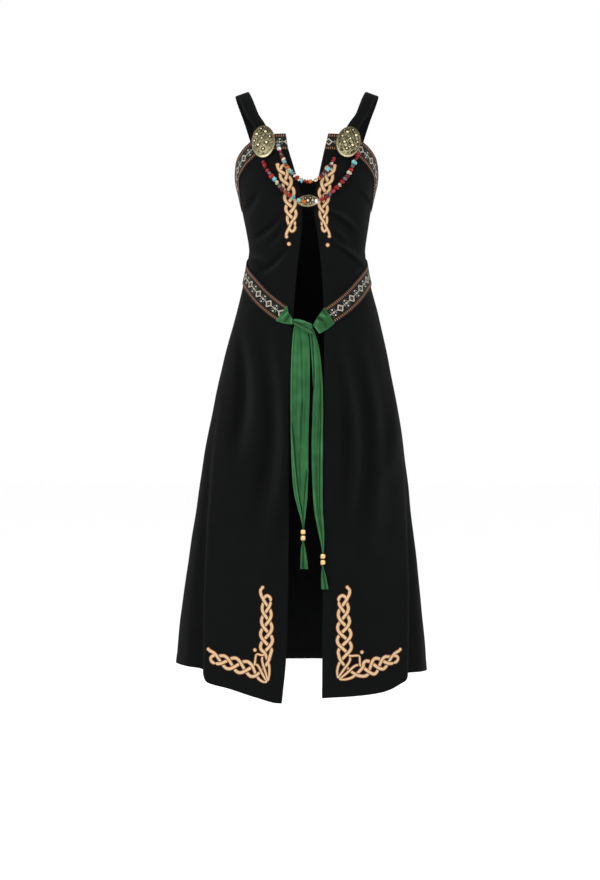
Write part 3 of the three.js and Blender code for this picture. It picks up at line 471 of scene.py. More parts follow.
def ribbon_material():
    """Jacquard ribbon: rust ladder borders, and cream diamonds joined by a line of crosses."""
    s = Shading("woven_ribbon", Roughness=0.75, Specular_IOR_Level=0.15)
    u, v = s.uv()
    half = sizes().repeat * 500
    across = s.math("SUBTRACT", v, sizes().ribbon_width * 500)

    def woven(distance, cell=0.75):
        """How far the middle of a thread's cell lies from the figure's middle."""
        cells = s.math("MULTIPLY", s.math("FLOOR", s.math("DIVIDE", distance, cell)), cell)
        return s.math("ABSOLUTE", s.math("ADD", cells, cell / 2))

    def spot(x, y, radius):
        dx, dy = s.math("SUBTRACT", a, x), s.math("SUBTRACT", b, y)
        away = s.math("ADD", s.math("ABSOLUTE", dx), s.math("ABSOLUTE", dy))
        return s.math("LESS_THAN", away, radius)

    # The chart: a runs along the ribbon from a diamond's middle and b across it, both in
    # millimetres. Each figure is 1 where it is woven.
    a, b = woven(s.math("WRAP", u, half, -half)), woven(across)
    around = s.math("ADD", a, b)
    blunt = s.math("MULTIPLY", s.math("LESS_THAN", b, 7.6), s.math("LESS_THAN", a, 7.4))
    diamond = s.math("MULTIPLY", s.between(around, 5.0, 8.9), blunt)
    core = s.math("LESS_THAN", around, 1.9)
    bar = s.math("MULTIPLY", s.math("LESS_THAN", b, 0.8), s.math("GREATER_THAN", a, 7.4))
    cross = s.between(s.math("ADD", s.math("SUBTRACT", half, a), b), 0.8, 2.9)
    cream = s.any_of(diamond, bar, cross)
    dots = s.any_of(spot(half - 0.4, 6.0, 1.9), spot(half - 5.0, 3.2, 1.0))
    leaves = s.any_of(spot(half - 3.6, 7.6, 1.4), spot(half - 6.6, 6.2, 1.3))

    # The borders are plain bands, so they go by the true distance from the middle.
    out = s.math("ABSOLUTE", across)
    field = s.math("LESS_THAN", out, 9.6)
    border = s.between(out, 10.6, 16.4)
    rail = s.any_of(s.between(out, 10.6, 11.4), s.between(out, 15.6, 16.4))
    rungs = s.math("SINE", s.math("MULTIPLY", u, math.tau / 4.6))
    rungs = s.math("MULTIPLY_ADD", rungs, 2.8, -0.5, clamp=True)

    c = colours()
    fleck = s.grain(420.0, 4.0, 0.7)
    ground = s.mix(fleck, shade(c.ribbon_ground, 0.6), shade(c.ribbon_ground, 1.8))
    rust = s.mix(fleck, shade(c.ribbon_rust, 0.5), shade(c.ribbon_rust, 1.3))
    ladder = s.mix(rungs, shade(c.ribbon_rust, 0.08), shade(c.ribbon_rust, 2.7))
    pale = s.mix(fleck, shade(c.ribbon_cream, 0.62), shade(c.ribbon_cream, 1.15))
    tone = s.mix(s.math("MULTIPLY", leaves, field), ground, shade(c.ribbon_dots, 0.09))
    tone = s.mix(s.math("MULTIPLY", dots, field), tone, tuple(c.ribbon_dots))
    tone = s.mix(core, tone, s.mix(0.5, shade(c.ribbon_rust, 0.9), shade(c.ribbon_cream, 0.3)))
    tone = s.mix(s.math("MULTIPLY", cream, field), tone, pale)
    tone = s.mix(border, tone, s.mix(0.08, ladder, rust))
    s.colour(s.mix(rail, tone, shade(c.ribbon_rust, 0.2)))
    relief = s.math("ADD", s.math("MULTIPLY", cream, 1.4), border)
    relief = s.math("ADD", relief, s.math("MULTIPLY", s.math("MULTIPLY", border, rungs), 1.2))
    s.bump(s.math("ADD", relief, s.math("MULTIPLY", weave(s, 0.7), 0.6)), 0.00022, 0.9)
    return s.material


def green_material():
    """Soft green cotton with a slubby weave, with a painted highlight on its folds and painted
    shade between them.
    """
    s = Shading("green_cloth", Roughness=0.86, Sheen_Weight=0.04, Specular_IOR_Level=0.2)
    slub = s.grain(1.0, 4.0, 0.65, where=slub_place(s))
    cloud = s.grain(26.0, 4.0, 0.6)
    fold = s.stored("fold")
    base = tuple(colours().green)
    tone = s.mix(cloud, shade(base, 0.84), shade(base, 1.16))
    tone = s.mix(s.math("MULTIPLY", slub, 0.4), tone, shade(base, 0.75))
    # Painted highlight on the ridges and rims, and painted shade in the troughs.
    tone = s.mix(s.math("MULTIPLY", fold, 0.55, clamp=True), tone, tuple(colours().green_highlight))
    s.colour(s.mix(s.math("MULTIPLY", fold, -0.9, clamp=True), tone, shade(base, 0.16)))
    relief = s.math("ADD", s.math("MULTIPLY", weave(s, 0.9), 0.3), s.math("MULTIPLY", slub, 1.0))
    s.bump(s.math("ADD", relief, s.math("MULTIPLY", cloud, 3.0)), 0.0003, 0.7)
    return s.material


def slub_place(s):
    """A place on the cloth that changes fast across the threads and slowly along them."""
    u, v = s.uv()
    made = s.tree.nodes.new("ShaderNodeCombineXYZ")
    s.feed(made.inputs[0], s.math("MULTIPLY", u, 1.6))
    s.feed(made.inputs[1], s.math("MULTIPLY", v, 0.09))
    return made.outputs[0]


def thread_material(name, rgb, roughness):
    """Satin stitch: fine threads laid side by side across the strand, with painted shade between
    them.
    """
    s = Shading(name, Roughness=roughness, Specular_IOR_Level=0.25)
    u, _ = s.uv()
    threads = s.math("SINE", s.math("MULTIPLY", u, math.tau / 0.62))
    uneven = s.grain(300.0, 4.0, 0.7)
    # Painted shade between the threads and a painted highlight on their crowns.
    rise = s.math("MULTIPLY_ADD", threads, 0.5, 0.5)
    tone = s.mix(rise, shade(rgb, 0.72), shade(rgb, 1.08))
    s.colour(s.mix(s.math("MULTIPLY", uneven, 0.35), tone, shade(rgb, 0.7)))
    s.bump(s.math("ADD", threads, s.math("MULTIPLY", uneven, 0.8)), 0.0002, 0.8)
    return s.material


def bronze_material():
    """Bronze with dark hollows and worn bright high points."""
    s = Shading("aged_bronze", Metallic=0.9)
    relief = s.stored("relief")
    spots = s.grain(260.0, 5.0, 0.7)
    worn = s.math("ADD", relief, s.math("MULTIPLY_ADD", spots, 0.6, -0.3), clamp=True)
    middle = s.math("MULTIPLY", worn, 2.6, clamp=True)
    high = s.math("MULTIPLY_ADD", worn, 1.9, -0.75, clamp=True)
    tone = s.mix(middle, tuple(colours().patina), tuple(colours().dull_bronze))
    s.colour(s.mix(high, tone, tuple(colours().bronze)))
    s.feed(s.shader.inputs["Roughness"], s.math("MULTIPLY_ADD", worn, -0.34, 0.62))
    s.bump(s.grain(1400.0, 3.0, 0.6), 0.00012, 0.6)
    return s.material


def gilt_material():
    s = Shading("gilt", Metallic=1.0)
    spots = s.grain(350.0, 4.0, 0.7)
    # Painted highlight round each bead's middle and painted shade towards its ends.
    tone = s.mix(s.stored("relief"), shade(colours().gilt, 0.14), shade(colours().gilt, 1.1))
    s.colour(s.mix(s.math("MULTIPLY", spots, 0.4), tone, shade(colours().gilt, 0.5)))
    s.feed(s.shader.inputs["Roughness"], s.math("MULTIPLY_ADD", spots, 0.3, 0.12))
    s.bump(s.grain(900.0), 0.00006, 0.4)
    return s.material


def bead_material(name):
    """Polished stone or glass with clouds, and pale vein marks that are partly the stone's own and
    partly painted glints.
    """
    rgb = tuple(getattr(colours(), name))
    s = Shading(
        name + "_bead", Roughness=0.3, Specular_IOR_Level=0.15, Coat_Weight=0.15,
        Coat_Roughness=0.06,
    )
    veins_and_glints = s.grain(380.0, 6.0, 0.75)
    clouds = s.grain(150.0, 3.0, 0.6)
    deep = s.math("MULTIPLY_ADD", clouds, 2.6, -0.8, clamp=True)
    tone = s.mix(deep, shade(rgb, 0.3), shade(rgb, 1.25))
    # The pale vein marks are partly the stone's own veins and partly painted glints.
    sharp = s.math("MULTIPLY_ADD", veins_and_glints, 5.0, -3.0, clamp=True)
    pale = tuple(min(1.0, 1.5 * c + 0.05 * max(rgb)) for c in rgb)
    s.colour(s.mix(s.math("MULTIPLY", sharp, 0.7), tone, pale))
    s.bump(veins_and_glints, 0.0002, 0.35)
    return s.material


def material(name, make, *values):
    """The material of that name, made when it is first asked for."""
    found = bpy.data.materials.get("dress_" + name)
    if found is None:
        found = make(*values)
        found.name = "dress_" + name
    return found


# ----------------------------------------------------------------------------------------------
# Meshes and pieces


def deselect():
    for o in bpy.context.view_layer.objects:
        o.select_set(False)


def select_only(*objects):
    deselect()
    for o in objects:
        o.select_set(True)
    bpy.context.view_layer.objects.active = objects[0]


def mesh_piece(name, points, faces, uv=None):
    """A smooth mesh object from points, faces and a place for each point on the cloth's map."""
    mesh = bpy.data.meshes.new(name)
    mesh.from_pydata([tuple(p) for p in points], [], faces)
    mesh.polygons.foreach_set("use_smooth", [True] * len(mesh.polygons))
    if uv is not None:
        layer = mesh.uv_layers.new(name="cloth")
        loops = np.zeros(len(mesh.loops), np.int32)
        mesh.loops.foreach_get("vertex_index", loops)
        layer.data.foreach_set("uv", np.asarray(uv, float)[loops].ravel())
    made = bpy.data.objects.new(name, mesh)
    bpy.context.collection.objects.link(made)
    return made


def finish_piece(piece, finish, slot, *nodes):
    """Gives a piece its material and its place in the frame, and hides the solids it stands for."""
    piece.data.materials.clear()
    piece.data.materials.append(finish)
    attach(piece, "root")
    if nodes:
        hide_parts(*nodes)
    return piece


def join(name, pieces):
    select_only(*pieces)
    if len(pieces) > 1:
        bpy.ops.object.join()
    made = bpy.context.view_layer.objects.active
    made.name = made.data.name = name
    deselect()
    return made


def store(piece, name, values):
    """Keeps a value at each point of a piece, for its material to read."""
    layer = piece.data.attributes.new(name, "FLOAT", "POINT")
    layer.data.foreach_set("value", np.asarray(values, float))


def quad_copy(node):
    """A solid's own mesh on an object of its own, with its triangles paired to quads."""
    solid = frame["nodes"][node]
    mesh = solid.data.copy()
    mesh.transform(solid.matrix_world)
    copy = bpy.data.objects.new(node + "_copy", mesh)
    bpy.context.collection.objects.link(copy)
    select_only(copy)
    bpy.ops.object.mode_set(mode="EDIT")
    bpy.ops.mesh.select_all(action="SELECT")
    bpy.ops.mesh.remove_doubles(threshold=1e-5)
    bpy.ops.mesh.tris_convert_to_quads(
        face_threshold=math.radians(100), shape_threshold=math.pi, topology_influence=1.5
    )
    bpy.ops.object.mode_set(mode="OBJECT")
    return copy


def skin(node, rows):
    """The outer points of a cloth solid, as rows from the top down, each from left to right as
    seen from outside."""
    copy = quad_copy(node)
    bm = bmesh.new()
    bm.from_mesh(copy.data)
    mesh = copy.data
    bpy.data.objects.remove(copy)
    bpy.data.meshes.remove(mesh)
    grid = outer_grid(bm)
    bm.free()
    if len(grid) != rows:
        grid = [list(row) for row in zip(*grid)]
    if len(grid) != rows:
        raise RuntimeError(f"{node} has {len(grid)} by {len(grid[0])} points, and no {rows} rows")
    points = np.array(grid)
    if points[0, :, 2].mean() < points[-1, :, 2].mean():
        points = points[::-1]
    r, c = points.shape[0] // 2, points.shape[1] // 2
    across = points[r, c] - points[r, c - 1]
    up = points[r - 1, c] - points[r, c]
    if np.dot(np.cross(across, up), points[r, c] - body_middle(points[r, c])) < 0:
        points = points[:, ::-1]
    return points


def body_middle(p):
    """The point inside the wearer's body that a piece of cloth at p faces away from."""
    return np.array((0.0, 0.0, min(p[2], -0.2)))


def outer_grid(bm):
    """The outer face of a closed wall of four-sided faces, as a grid of points."""
    corners = [v for v in bm.verts if len(v.link_edges) == 3]
    through = {min(corners[0].link_edges, key=lambda e: e.calc_length())}
    rim, todo = set(), list(through)
    while todo:
        edge = todo.pop()
        for face in edge.link_faces:
            rim.add(face)
            opposite = next(e for e in face.edges if not set(e.verts) & set(edge.verts))
            if opposite not in through:
                through.add(opposite)
                todo.append(opposite)

    def outside(v):
        other = next(e for e in v.link_edges if e in through).other_vert(v)
        middle = Vector(body_middle(v.co))
        return (v.co - middle).length > (other.co - middle).length

    start = next(v for v in corners if outside(v))
    edge = next(e for e in start.link_edges if e not in through)
    row = [start, edge.other_vert(start)]
    while len(row[-1].link_edges) > 3:
        edge = next(
            e
            for e in row[-1].link_edges
            if e not in through and row[-2] not in e.verts and rim & set(e.link_faces)
        )
        row.append(edge.other_vert(row[-1]))
    grid, used = [row], set(rim)
    while True:
        below = []
        for a, b in zip(row, row[1:]):
            face = next((f for f in a.link_faces if b in f.verts and f not in used), None)
            if face is None:
                return [[tuple(v.co) for v in line] for line in grid]
            used.add(face)
            beside = [
                next(e.other_vert(v) for e in face.edges if v in e.verts and w not in e.verts)
                for v, w in ((a, b), (b, a))
            ]
            below += beside[1:] if below else beside
        row = below
        grid.append(row)


def distances(line):
    """How far along a line each of its points lies."""
    return np.concatenate([[0.0], np.cumsum(np.linalg.norm(np.diff(line, axis=0), axis=1))])


def headings(line):
    """The direction of a line at each of its points."""
    ends = [line[0], *line, line[-1]]
    return [(b - a).normalized() for a, b in zip(ends, ends[2:])]


def knots(points):
    """How far along each row lies, taken as the mean over the columns."""
    steps = np.linalg.norm(np.diff(points, axis=0), axis=2).mean(axis=1)
    return np.concatenate([[0.0], np.cumsum(steps)])


def weights(at, places):
    """What each of the points at the given knots adds to a smooth curve at each place."""
    w = np.zeros((len(places), len(at)))
    last = len(at) - 1
    for row, place in enumerate(places):
        i = int(np.clip(np.searchsorted(at, place, side="right") - 1, 0, last - 1))
        span = at[i + 1] - at[i]
        t = (place - at[i]) / span
        w[row, i] += 2 * t**3 - 3 * t**2 + 1
        w[row, i + 1] += 3 * t**2 - 2 * t**3
        for j, share in ((i, t**3 - 2 * t**2 + t), (i + 1, t**3 - t**2)):
            low, high = max(j - 1, 0), min(j + 1, last)
            k = share * span / (at[high] - at[low])
            w[row, high] += k
            w[row, low] -= k
    return w


def finer(points, down, along, last=-1):
    """The same surface down to its last row with points about so far apart, and how far down
    and along it they lie."""
    k_down, k_along = knots(points), knots(points.swapaxes(0, 1))
    places = [
        np.linspace(0, end, max(2, int(round(end / step))) + 1)
        for end, step in ((k_down[last], down), (k_along[-1], along))
    ]
    w_down, w_along = weights(k_down, places[0]), weights(k_along, places[1])
    return np.einsum("ri,cj,ijk->rck", w_down, w_along, points), places[0], places[1]


def normals(points):
    across = np.gradient(points, axis=1)
    down = np.gradient(points, axis=0)
    out = np.cross(down, across)
    return out / np.linalg.norm(out, axis=2, keepdims=True)


def cloth_map(points):
    """Each point's distances along and down the cloth."""
    along = np.linalg.norm(np.diff(points, axis=1), axis=2)
    along = np.concatenate([np.zeros((len(points), 1)), np.cumsum(along, axis=1)], axis=1)
    down = np.linalg.norm(np.diff(points, axis=0), axis=2)
    down = np.concatenate([np.zeros((1, points.shape[1])), np.cumsum(down, axis=0)], axis=0)
    middle = along[:, points.shape[1] // 2][:, None]
    return np.stack([along - middle, down], axis=2)


def ring_of(rows, columns):
    """The places round the edge of a grid, in order."""
    return (
        [(0, c) for c in range(columns - 1)]
        + [(r, columns - 1) for r in range(rows - 1)]
        + [(rows - 1, c) for c in range(columns - 1, 0, -1)]
        + [(r, 0) for r in range(rows - 1, 0, -1)]
    )


def shell(name, outer, inner, uv):
    """A closed thin cloth between two grids of points, with softly rounded edges."""
    rows, columns = outer.shape[:2]
    ring = ring_of(rows, columns)
    inward = [(min(max(r, 1), rows - 2), min(max(c, 1), columns - 2)) for r, c in ring]
    middle = []
    for (r, c), (ri, ci) in zip(ring, inward):
        away = outer[r, c] - outer[ri, ci]
        thick = np.linalg.norm(outer[r, c] - inner[r, c])
        away = away / max(np.linalg.norm(away), 1e-9)
        middle.append((outer[r, c] + inner[r, c]) / 2 + away * thick * 0.35)
    count = rows * columns
    points = np.concatenate([outer.reshape(-1, 3), inner.reshape(-1, 3), np.array(middle)])
    places = uv.reshape(-1, 2)
    places = np.concatenate([places, places, np.array([uv[r, c] for r, c in ring])])

    def quads(offset, flip):
        r, c = np.meshgrid(np.arange(rows - 1), np.arange(columns - 1), indexing="ij")
        a = offset + r * columns + c
        faces = np.stack([a, a + columns, a + columns + 1, a + 1], axis=2).reshape(-1, 4)
        return (faces[:, ::-1] if flip else faces).tolist()

    faces = quads(0, False) + quads(count, True)
    n = len(ring)
    for i in range(n):
        j = (i + 1) % n
        a, b = (r * columns + c for r, c in (ring[i], ring[j]))
        m, k = 2 * count + i, 2 * count + j
        faces += [[a, b, k, m], [m, k, count + b, count + a]]
    return mesh_piece(name, points, faces, places)


def cloth_area(points):
    edges_down, edges_along = np.diff(points, axis=0)[:, :-1], np.diff(points, axis=1)[:-1]
    return float(np.linalg.norm(np.cross(edges_down, edges_along), axis=2).sum())


def store_fold_shading(piece, fold_shading, edge=-1.0):
    """Stores painted light at each outer point of a shell: a highlight where it stands on a fold,
    and shade below zero where it lies in one. The inner face is plain; the rim has at least the
    edge's value."""
    fold_shading = np.clip(fold_shading, -1, 1)
    ring = np.array([fold_shading[r, c] for r, c in ring_of(*fold_shading.shape)])
    values = (fold_shading.ravel(), np.zeros(fold_shading.size), np.maximum(ring, edge))
    store(piece, "fold", np.concatenate(values))


def surface_of(name):
    """The finished cloth of a piece, for laying things on."""
    bm = bmesh.new()
    bm.from_mesh(bpy.data.objects[name].data)
    tree = BVHTree.FromBMesh(bm)
    bm.free()
    return tree


def on_front(cloth, x, z, lift=0.0):
    """A point that stands off the front of the cloth, and the cloth's normal there, evened over
    its surroundings. All in metres."""
    spread = 0.004
    near = [
        cloth.ray_cast(Vector((x + dx, -1, z + dz)), Vector((0, 1, 0)), 1.02)[:2]
        for dx, dz in ((0, 0), (spread, 0), (-spread, 0), (0, spread), (0, -spread))
    ]
    hit = near[0][0]
    if hit is None:
        raise RuntimeError(f"no cloth at {x:.3f}, {z:.3f}")
    normal = sum((n if n.y < 0 else -n for h, n in near if h is not None), Vector()).normalized()
    return hit + normal * lift, normal


def smooth_line(points, step):
    """Points about a step apart on a smooth curve through the given ones."""
    line = np.asarray(points, float)[:, None, :]
    at = knots(line)
    places = np.linspace(0, at[-1], max(2, int(round(at[-1] / step))) + 1)
    return np.einsum("ri,ik->rk", weights(at, places), line[:, 0, :])


def round_section(half_width, half_height, count=8):
    """An oval of so many points."""
    turns = np.arange(count) * math.tau / count
    return [(math.cos(a) * half_width, math.sin(a) * half_height) for a in turns]


def bar_faces(rings, count):
    """The faces of a closed bar of rings of so many points each."""
    faces = []
    for i in range(rings - 1):
        for j in range(count):
            a, b = i * count + j, i * count + (j + 1) % count
            faces.append([a, b, b + count, a + count])
    return faces + [list(range(count))[::-1], [(rings - 1) * count + j for j in range(count)]]


def sweep(name, centres, sides, ups, section):
    """A closed bar: the section's (across, up) points, laid out at each centre along a line."""
    points, uv, along = [], [], 0.0
    for i, (centre, side, up) in enumerate(zip(centres, sides, ups)):
        along += (centre - centres[i - 1]).length if i else 0.0
        for j, (a, b) in enumerate(section):
            points.append(centre + side * a + up * b)
            uv.append((along, j / len(section) * 0.01))
    return mesh_piece(name, points, bar_faces(len(centres), len(section)), uv)


# ----------------------------------------------------------------------------------------------
# Black cloth


def crease_relief(points, creases):
    """How far the creases push each point of a panel in: slightly bowed troughs that widen on
    their way, each with a ridge along one side."""
    # How far a crease bows, as a share of its length, how far it fades out past its ends, how
    # high its ridge stands, and how many widths beside it.
    bow, past, ridge, beside = 0.06, 0.1, 0.62, 1.5
    x, z = points[..., 0] / MM, points[..., 2] / MM
    relief = np.zeros(x.shape)
    for x0, z0, x1, z1, depth, width in creases:
        run_x, run_z = x1 - x0, z1 - z0
        long = math.hypot(run_x, run_z)
        t = ((x - x0) * run_x + (z - z0) * run_z) / long**2
        inside = np.clip(t, 0, 1)
        side = ((z - z0) * run_x - (x - x0) * run_z) / long - bow * long * np.sin(np.pi * inside)
        s = side / (width * (0.75 + 0.6 * inside))
        fade = np.sin(np.pi * np.clip((t + past) / (1 + 2 * past), 0, 1)) ** 1.3
        relief += depth * MM * fade * (np.exp(-(s**2)) - ridge * np.exp(-((s - beside) ** 2)))
    return relief


def soft_unevenness(points, amount, grain):
    """Small, slow waves, as pressed cloth keeps."""
    flat = points.reshape(-1, 3)
    moved = [noise.noise(Vector(p) * grain) * amount for p in flat]
    return np.array(moved).reshape(points.shape[:2])


def hem_share(up):
    """1 on the turned hem and 0 above it, at distances up from the cloth's lower edge."""
    return 0.5 - 0.5 * np.tanh((up - sizes().hem) / 0.0024)


def hem_relief(up):
    """Out over the turned hem, and in at its line of stitches."""
    return 0.00035 * hem_share(up) - 0.0006 * np.exp(-(((up - sizes().hem) / 0.0016) ** 2))


def wool_panel(name, node, creases, grain):
    """A panel of black wool, the flat size that it is cut from, and its area. Its grain is how
    far apart its points lie."""
    points, down, _ = finer(skin(node, 24), 1.25 * grain, grain)
    uv = cloth_map(points)
    up = uv[-1:, :, 1] - uv[:, :, 1]
    below_ribbon = np.clip((down - sizes().ribbon_width) / 0.03, 0, 1)[:, None]
    folds = -crease_relief(points, creases)
    relief = (folds + soft_unevenness(points, 0.0011, 14.0)) * below_ribbon + hem_relief(up)
    outer = points + normals(points) * relief[..., None]
    thick = sizes().wool + 0.0007 * hem_share(up)
    piece = shell(name, outer, outer - normals(outer) * thick[..., None], uv)
    # Painted highlight on the crease ridges and painted shade in their troughs, below the ribbon.
    store_fold_shading(piece, folds * below_ribbon / 0.0012)
    finish_piece(piece, material("black_wool", wool_material), "black_wool", node)
    flat = cloth_map(outer)
    return piece, (float(np.ptp(flat[..., 0])), float(flat[..., 1].max())), cloth_area(outer)


class DRESS_OT_panels(Operator):
    """Makes the two fronts and the back of black wool, creased and hemmed"""

    bl_idname = "dress.panels"
    bl_label = "Panels"

    def execute(self, context):
        for name, node, creases, grain in (
            ("front_cloth_left", "front_left", FRONT_CREASES, 0.0036),
            ("front_cloth_right", "front_right", FRONT_CREASES, 0.0036),
            ("back_cloth", "back", BACK_CREASES, 0.0055),
        ):
            piece, flat, area = wool_panel(name, node, creases, grain)
            min(area, flat[0] * flat[1])
            print(f"{name}: cut {flat[0]:.3f} x {flat[1]:.3f} m, {area:.3f} m2")
        return {"FINISHED"}


class DRESS_OT_straps(Operator):
    """Makes the two shoulder straps, with a row of stitches beside each edge"""

    bl_idname = "dress.straps"
    bl_label = "Straps"

    def execute(self, context):
        seam, thick = 0.0035, 0.0021
        for side in ("left", "right"):
            points, down, along = finer(skin(f"strap_{side}", 21), 0.004, 0.0026)
            out, width = normals(points), float(along[-1])
            inward = np.minimum(along, width - along)[None, :]
            groove = -0.0004 * np.exp(-(((inward - seam) / 0.0008) ** 2))
            pucker = 0.00025 * np.sin(down[:, None] / 0.0105 * math.tau) * np.exp(-inward / 0.004)
            outer = points + out * (groove + pucker)[..., None]
            piece = shell(f"strap_cloth_{side}", outer, points - out * thick, cloth_map(points))
            finish_piece(
                piece, material("black_wool", wool_material), "black_wool", f"strap_{side}"
            )
            rows = []
            for across in (seam, width - seam):
                column = float(np.interp(across, along, np.arange(len(along))))
                rows += stitch_row(outer, out, column, 0.0034)
            stitches = join(f"strap_stitches_{side}", rows)
            finish_piece(stitches, material("black_thread", stitch_material), "black_wool")
        return {"FINISHED"}


def stitch_row(points, out, column, pitch):
    """Stitches down a column of a cloth's points: small rounded bars that dip in at both ends."""
    i = int(column)
    t = column - i
    line = points[:, i] * (1 - t) + points[:, min(i + 1, points.shape[1] - 1)] * t
    steps = distances(line)

    def at(place, columns):
        return Vector([np.interp(place, steps, values) for values in columns.T])

    section = round_section(0.00028, 0.00026, 6)
    made = []
    for start in np.arange(pitch / 2, steps[-1] - pitch, pitch):
        middle, end = start + pitch * 0.36, start + pitch * 0.72
        n = at(middle, out[:, i]).normalized()
        side = n.cross((at(end, line) - at(start, line)).normalized())
        centres = [
            at(place, line) + n * lift
            for place, lift in ((start, -0.0002), (middle, 0.00025), (end, -0.0002))
        ]
        made.append(sweep("stitch", centres, [side] * 3, [n] * 3, section))
    return made


# ----------------------------------------------------------------------------------------------
# Ribbon


# The step of an edge's line in metres, how many steps it runs on past each end, and how often the
# places along the ribbon are evened out.
LINE_STEP, RUN_ON, EVENINGS = 0.001, 30, 100


def edge_line(row):
    """A fine line along an edge of the ribbon, run on straight past both of its ends."""
    fine = smooth_line(row, LINE_STEP)
    steps = np.arange(1, RUN_ON + 1)[:, None]
    before = fine[0] + (fine[0] - fine[1]) * steps[::-1]
    after = fine[-1] + (fine[-1] - fine[-2]) * steps
    return np.concatenate([before, fine, after])


def ribbon_map(points):
    """Each point's distance along the ribbon's middle, evened out where the ribbon turns, and
    down its width. Then the ribbon's length."""
    lines = [edge_line(points[r]) for r in (0, len(points) // 2, -1)]
    steps = distances(lines[1])
    uv = np.zeros((*points.shape[:2], 2))
    for r, row in enumerate(points):
        upper, middle, lower = (
            np.linalg.norm(row[:, None, :] - line[None, :, :], axis=2) for line in lines
        )
        top, bottom = upper.min(axis=1), lower.min(axis=1)
        uv[r, :, 0] = steps[middle.argmin(axis=1)]
        uv[r, :, 1] = sizes().ribbon_width * top / (top + bottom)
    for _ in range(EVENINGS):
        uv[:, 1:-1, 0] = (uv[:, :-2, 0] + 2 * uv[:, 1:-1, 0] + uv[:, 2:, 0]) / 4
    return uv, float(steps[-1]) - 2 * RUN_ON * LINE_STEP


class DRESS_OT_edging(Operator):
    """Sews the woven ribbon along the upper edge of the fronts and the back"""

    bl_idname = "dress.edging"
    bl_label = "Ribbon edging"

    def execute(self, context):
        gap = 0.00035
        for part in ("front_left", "front_right", "back"):
            points, _, _ = finer(skin(part, 24), 0.0026, 0.003, last=2)
            out = normals(points)
            uv, long = ribbon_map(points)
            inner = points + out * gap
            piece = shell(f"ribbon_{part}", inner + out * sizes().ribbon, inner, uv)
            finish_piece(
                piece, material("woven_ribbon", ribbon_material), "woven_ribbon", f"trim_{part}"
            )
        return {"FINISHED"}


# ----------------------------------------------------------------------------------------------
# Embroidery


# How far a strand lies off the cloth where it passes under and how much higher where it passes
# over, how high it domes, the same for its outline, and how much lower the outline lies.
UNDER, OVER, STRAND_DOME, OUTLINE_DOME, OUTLINE_DROP = 0.0007, 0.0014, 0.001, 0.0004, 0.00012

# How many steps a strand's ends are rounded over, and the least share of its size that is left.
END_STEPS, END_SHARE = 3, 0.2


def laid_cord(name, cloth, plan, lifts, widths, height):
    """A domed strand of stitches along a plan of (x, z) in metres, at its lift off the cloth."""
    centres, ups = zip(*(on_front(cloth, x, z, lift) for (x, z), lift in zip(plan, lifts)))
    section = [(math.cos(math.pi * i / 6), math.sin(math.pi * i / 6)) for i in range(7)]
    section += [(-1, -0.4), (1, -0.4)]
    points, uv, along = [], [], 0.0
    for i, (p, n, ahead) in enumerate(zip(centres, ups, headings(centres))):
        side = ahead.cross(n).normalized()
        along += (p - centres[i - 1]).length if i else 0.0
        end = min(i, len(centres) - 1 - i, END_STEPS) / END_STEPS
        share = math.sqrt(max(END_SHARE**2, 1 - (1 - end) ** 2))
        half = widths[i] / 2 * share
        for j, (a, b) in enumerate(section):
            points.append(p + side * (a * half) + n * (b * height * share))
            uv.append((along, j * widths[i] / (len(section) - 1)))
    return mesh_piece(name, points, bar_faces(len(centres), len(section)), uv)


def plait(line, repeat, side, end):
    """The three strands of a flat plait along a line of (x, z, swing), each a list of
    (x, z, over, share of the full width).

    The first strand starts in the middle. The repeat is fitted so that the plait's phase comes
    out at its end: a sixth, or a quarter for the hem's corner.
    """
    centre = smooth_line(line, 0.5)
    ahead = np.gradient(centre[:, :2], axis=0)
    ahead /= np.linalg.norm(ahead, axis=1, keepdims=True)
    across = np.stack([ahead[:, 1], -ahead[:, 0]], axis=1) * side
    along = distances(centre[:, :2])
    turns = max(0, round((along[-1] / repeat - end) * 3)) / 3 + end
    strands = []
    for k in range(3):
        strand = []
        for place in np.linspace(0, 1, int(turns * 12) + 1):
            turn = math.tau * (place * turns + k / 3)
            x, z, swing, ax, az = (
                np.interp(place * along[-1], along, column)
                for column in (*centre.T, *across.T)
            )
            b = swing * math.sin(turn)
            strand.append((x + ax * b, z + az * b, -math.sin(2 * turn), strand_share(swing)))
        strands.append(strand)
    frames = [(centre[i], ahead[i], across[i]) for i in (0, -1)]
    return strands, frames


def strand_share(swing):
    """How wide a strand is where the plait narrows, as a share of its full width."""
    return min(1.0, 0.5 + 0.05 * swing)


def finish_end(strands, frame, at_start, turn_plan, tail_plan):
    """Joins two of a plait's strands by a turn and lays the third one out as a tail, and
    returns the tail's tip."""
    (x, z, swing), (ax, az), (sx, sz) = frame
    way = -1 if at_start else 1
    i = 0 if at_start else -1
    share = strand_share(swing)

    def at(a, b, over):
        return (
            x + ax * way * a + sx * b * swing, z + az * way * a + sz * b * swing, over, share,
        )

    offsets = [s[i][0] * sx + s[i][1] * sz for s in strands]
    low, middle, high = sorted(range(3), key=lambda k: offsets[k])
    turn = [at(a, b, -0.9 if n < 2 else 0.2) for n, (a, b) in enumerate(turn_plan)]
    tail = [at(a, b, 0.9 if n == 0 else 0.4) for n, (a, b) in enumerate(tail_plan)]
    if at_start:
        strands[low] = turn[::-1] + strands[low]
        strands[middle] = tail[::-1] + strands[middle]
        strands[high] = [turn[-1]] + strands[high]
    else:
        strands[low] = strands[low] + turn
        strands[middle] = strands[middle] + tail
        strands[high] = strands[high] + [turn[-1]]
    return tail[-1][:2]


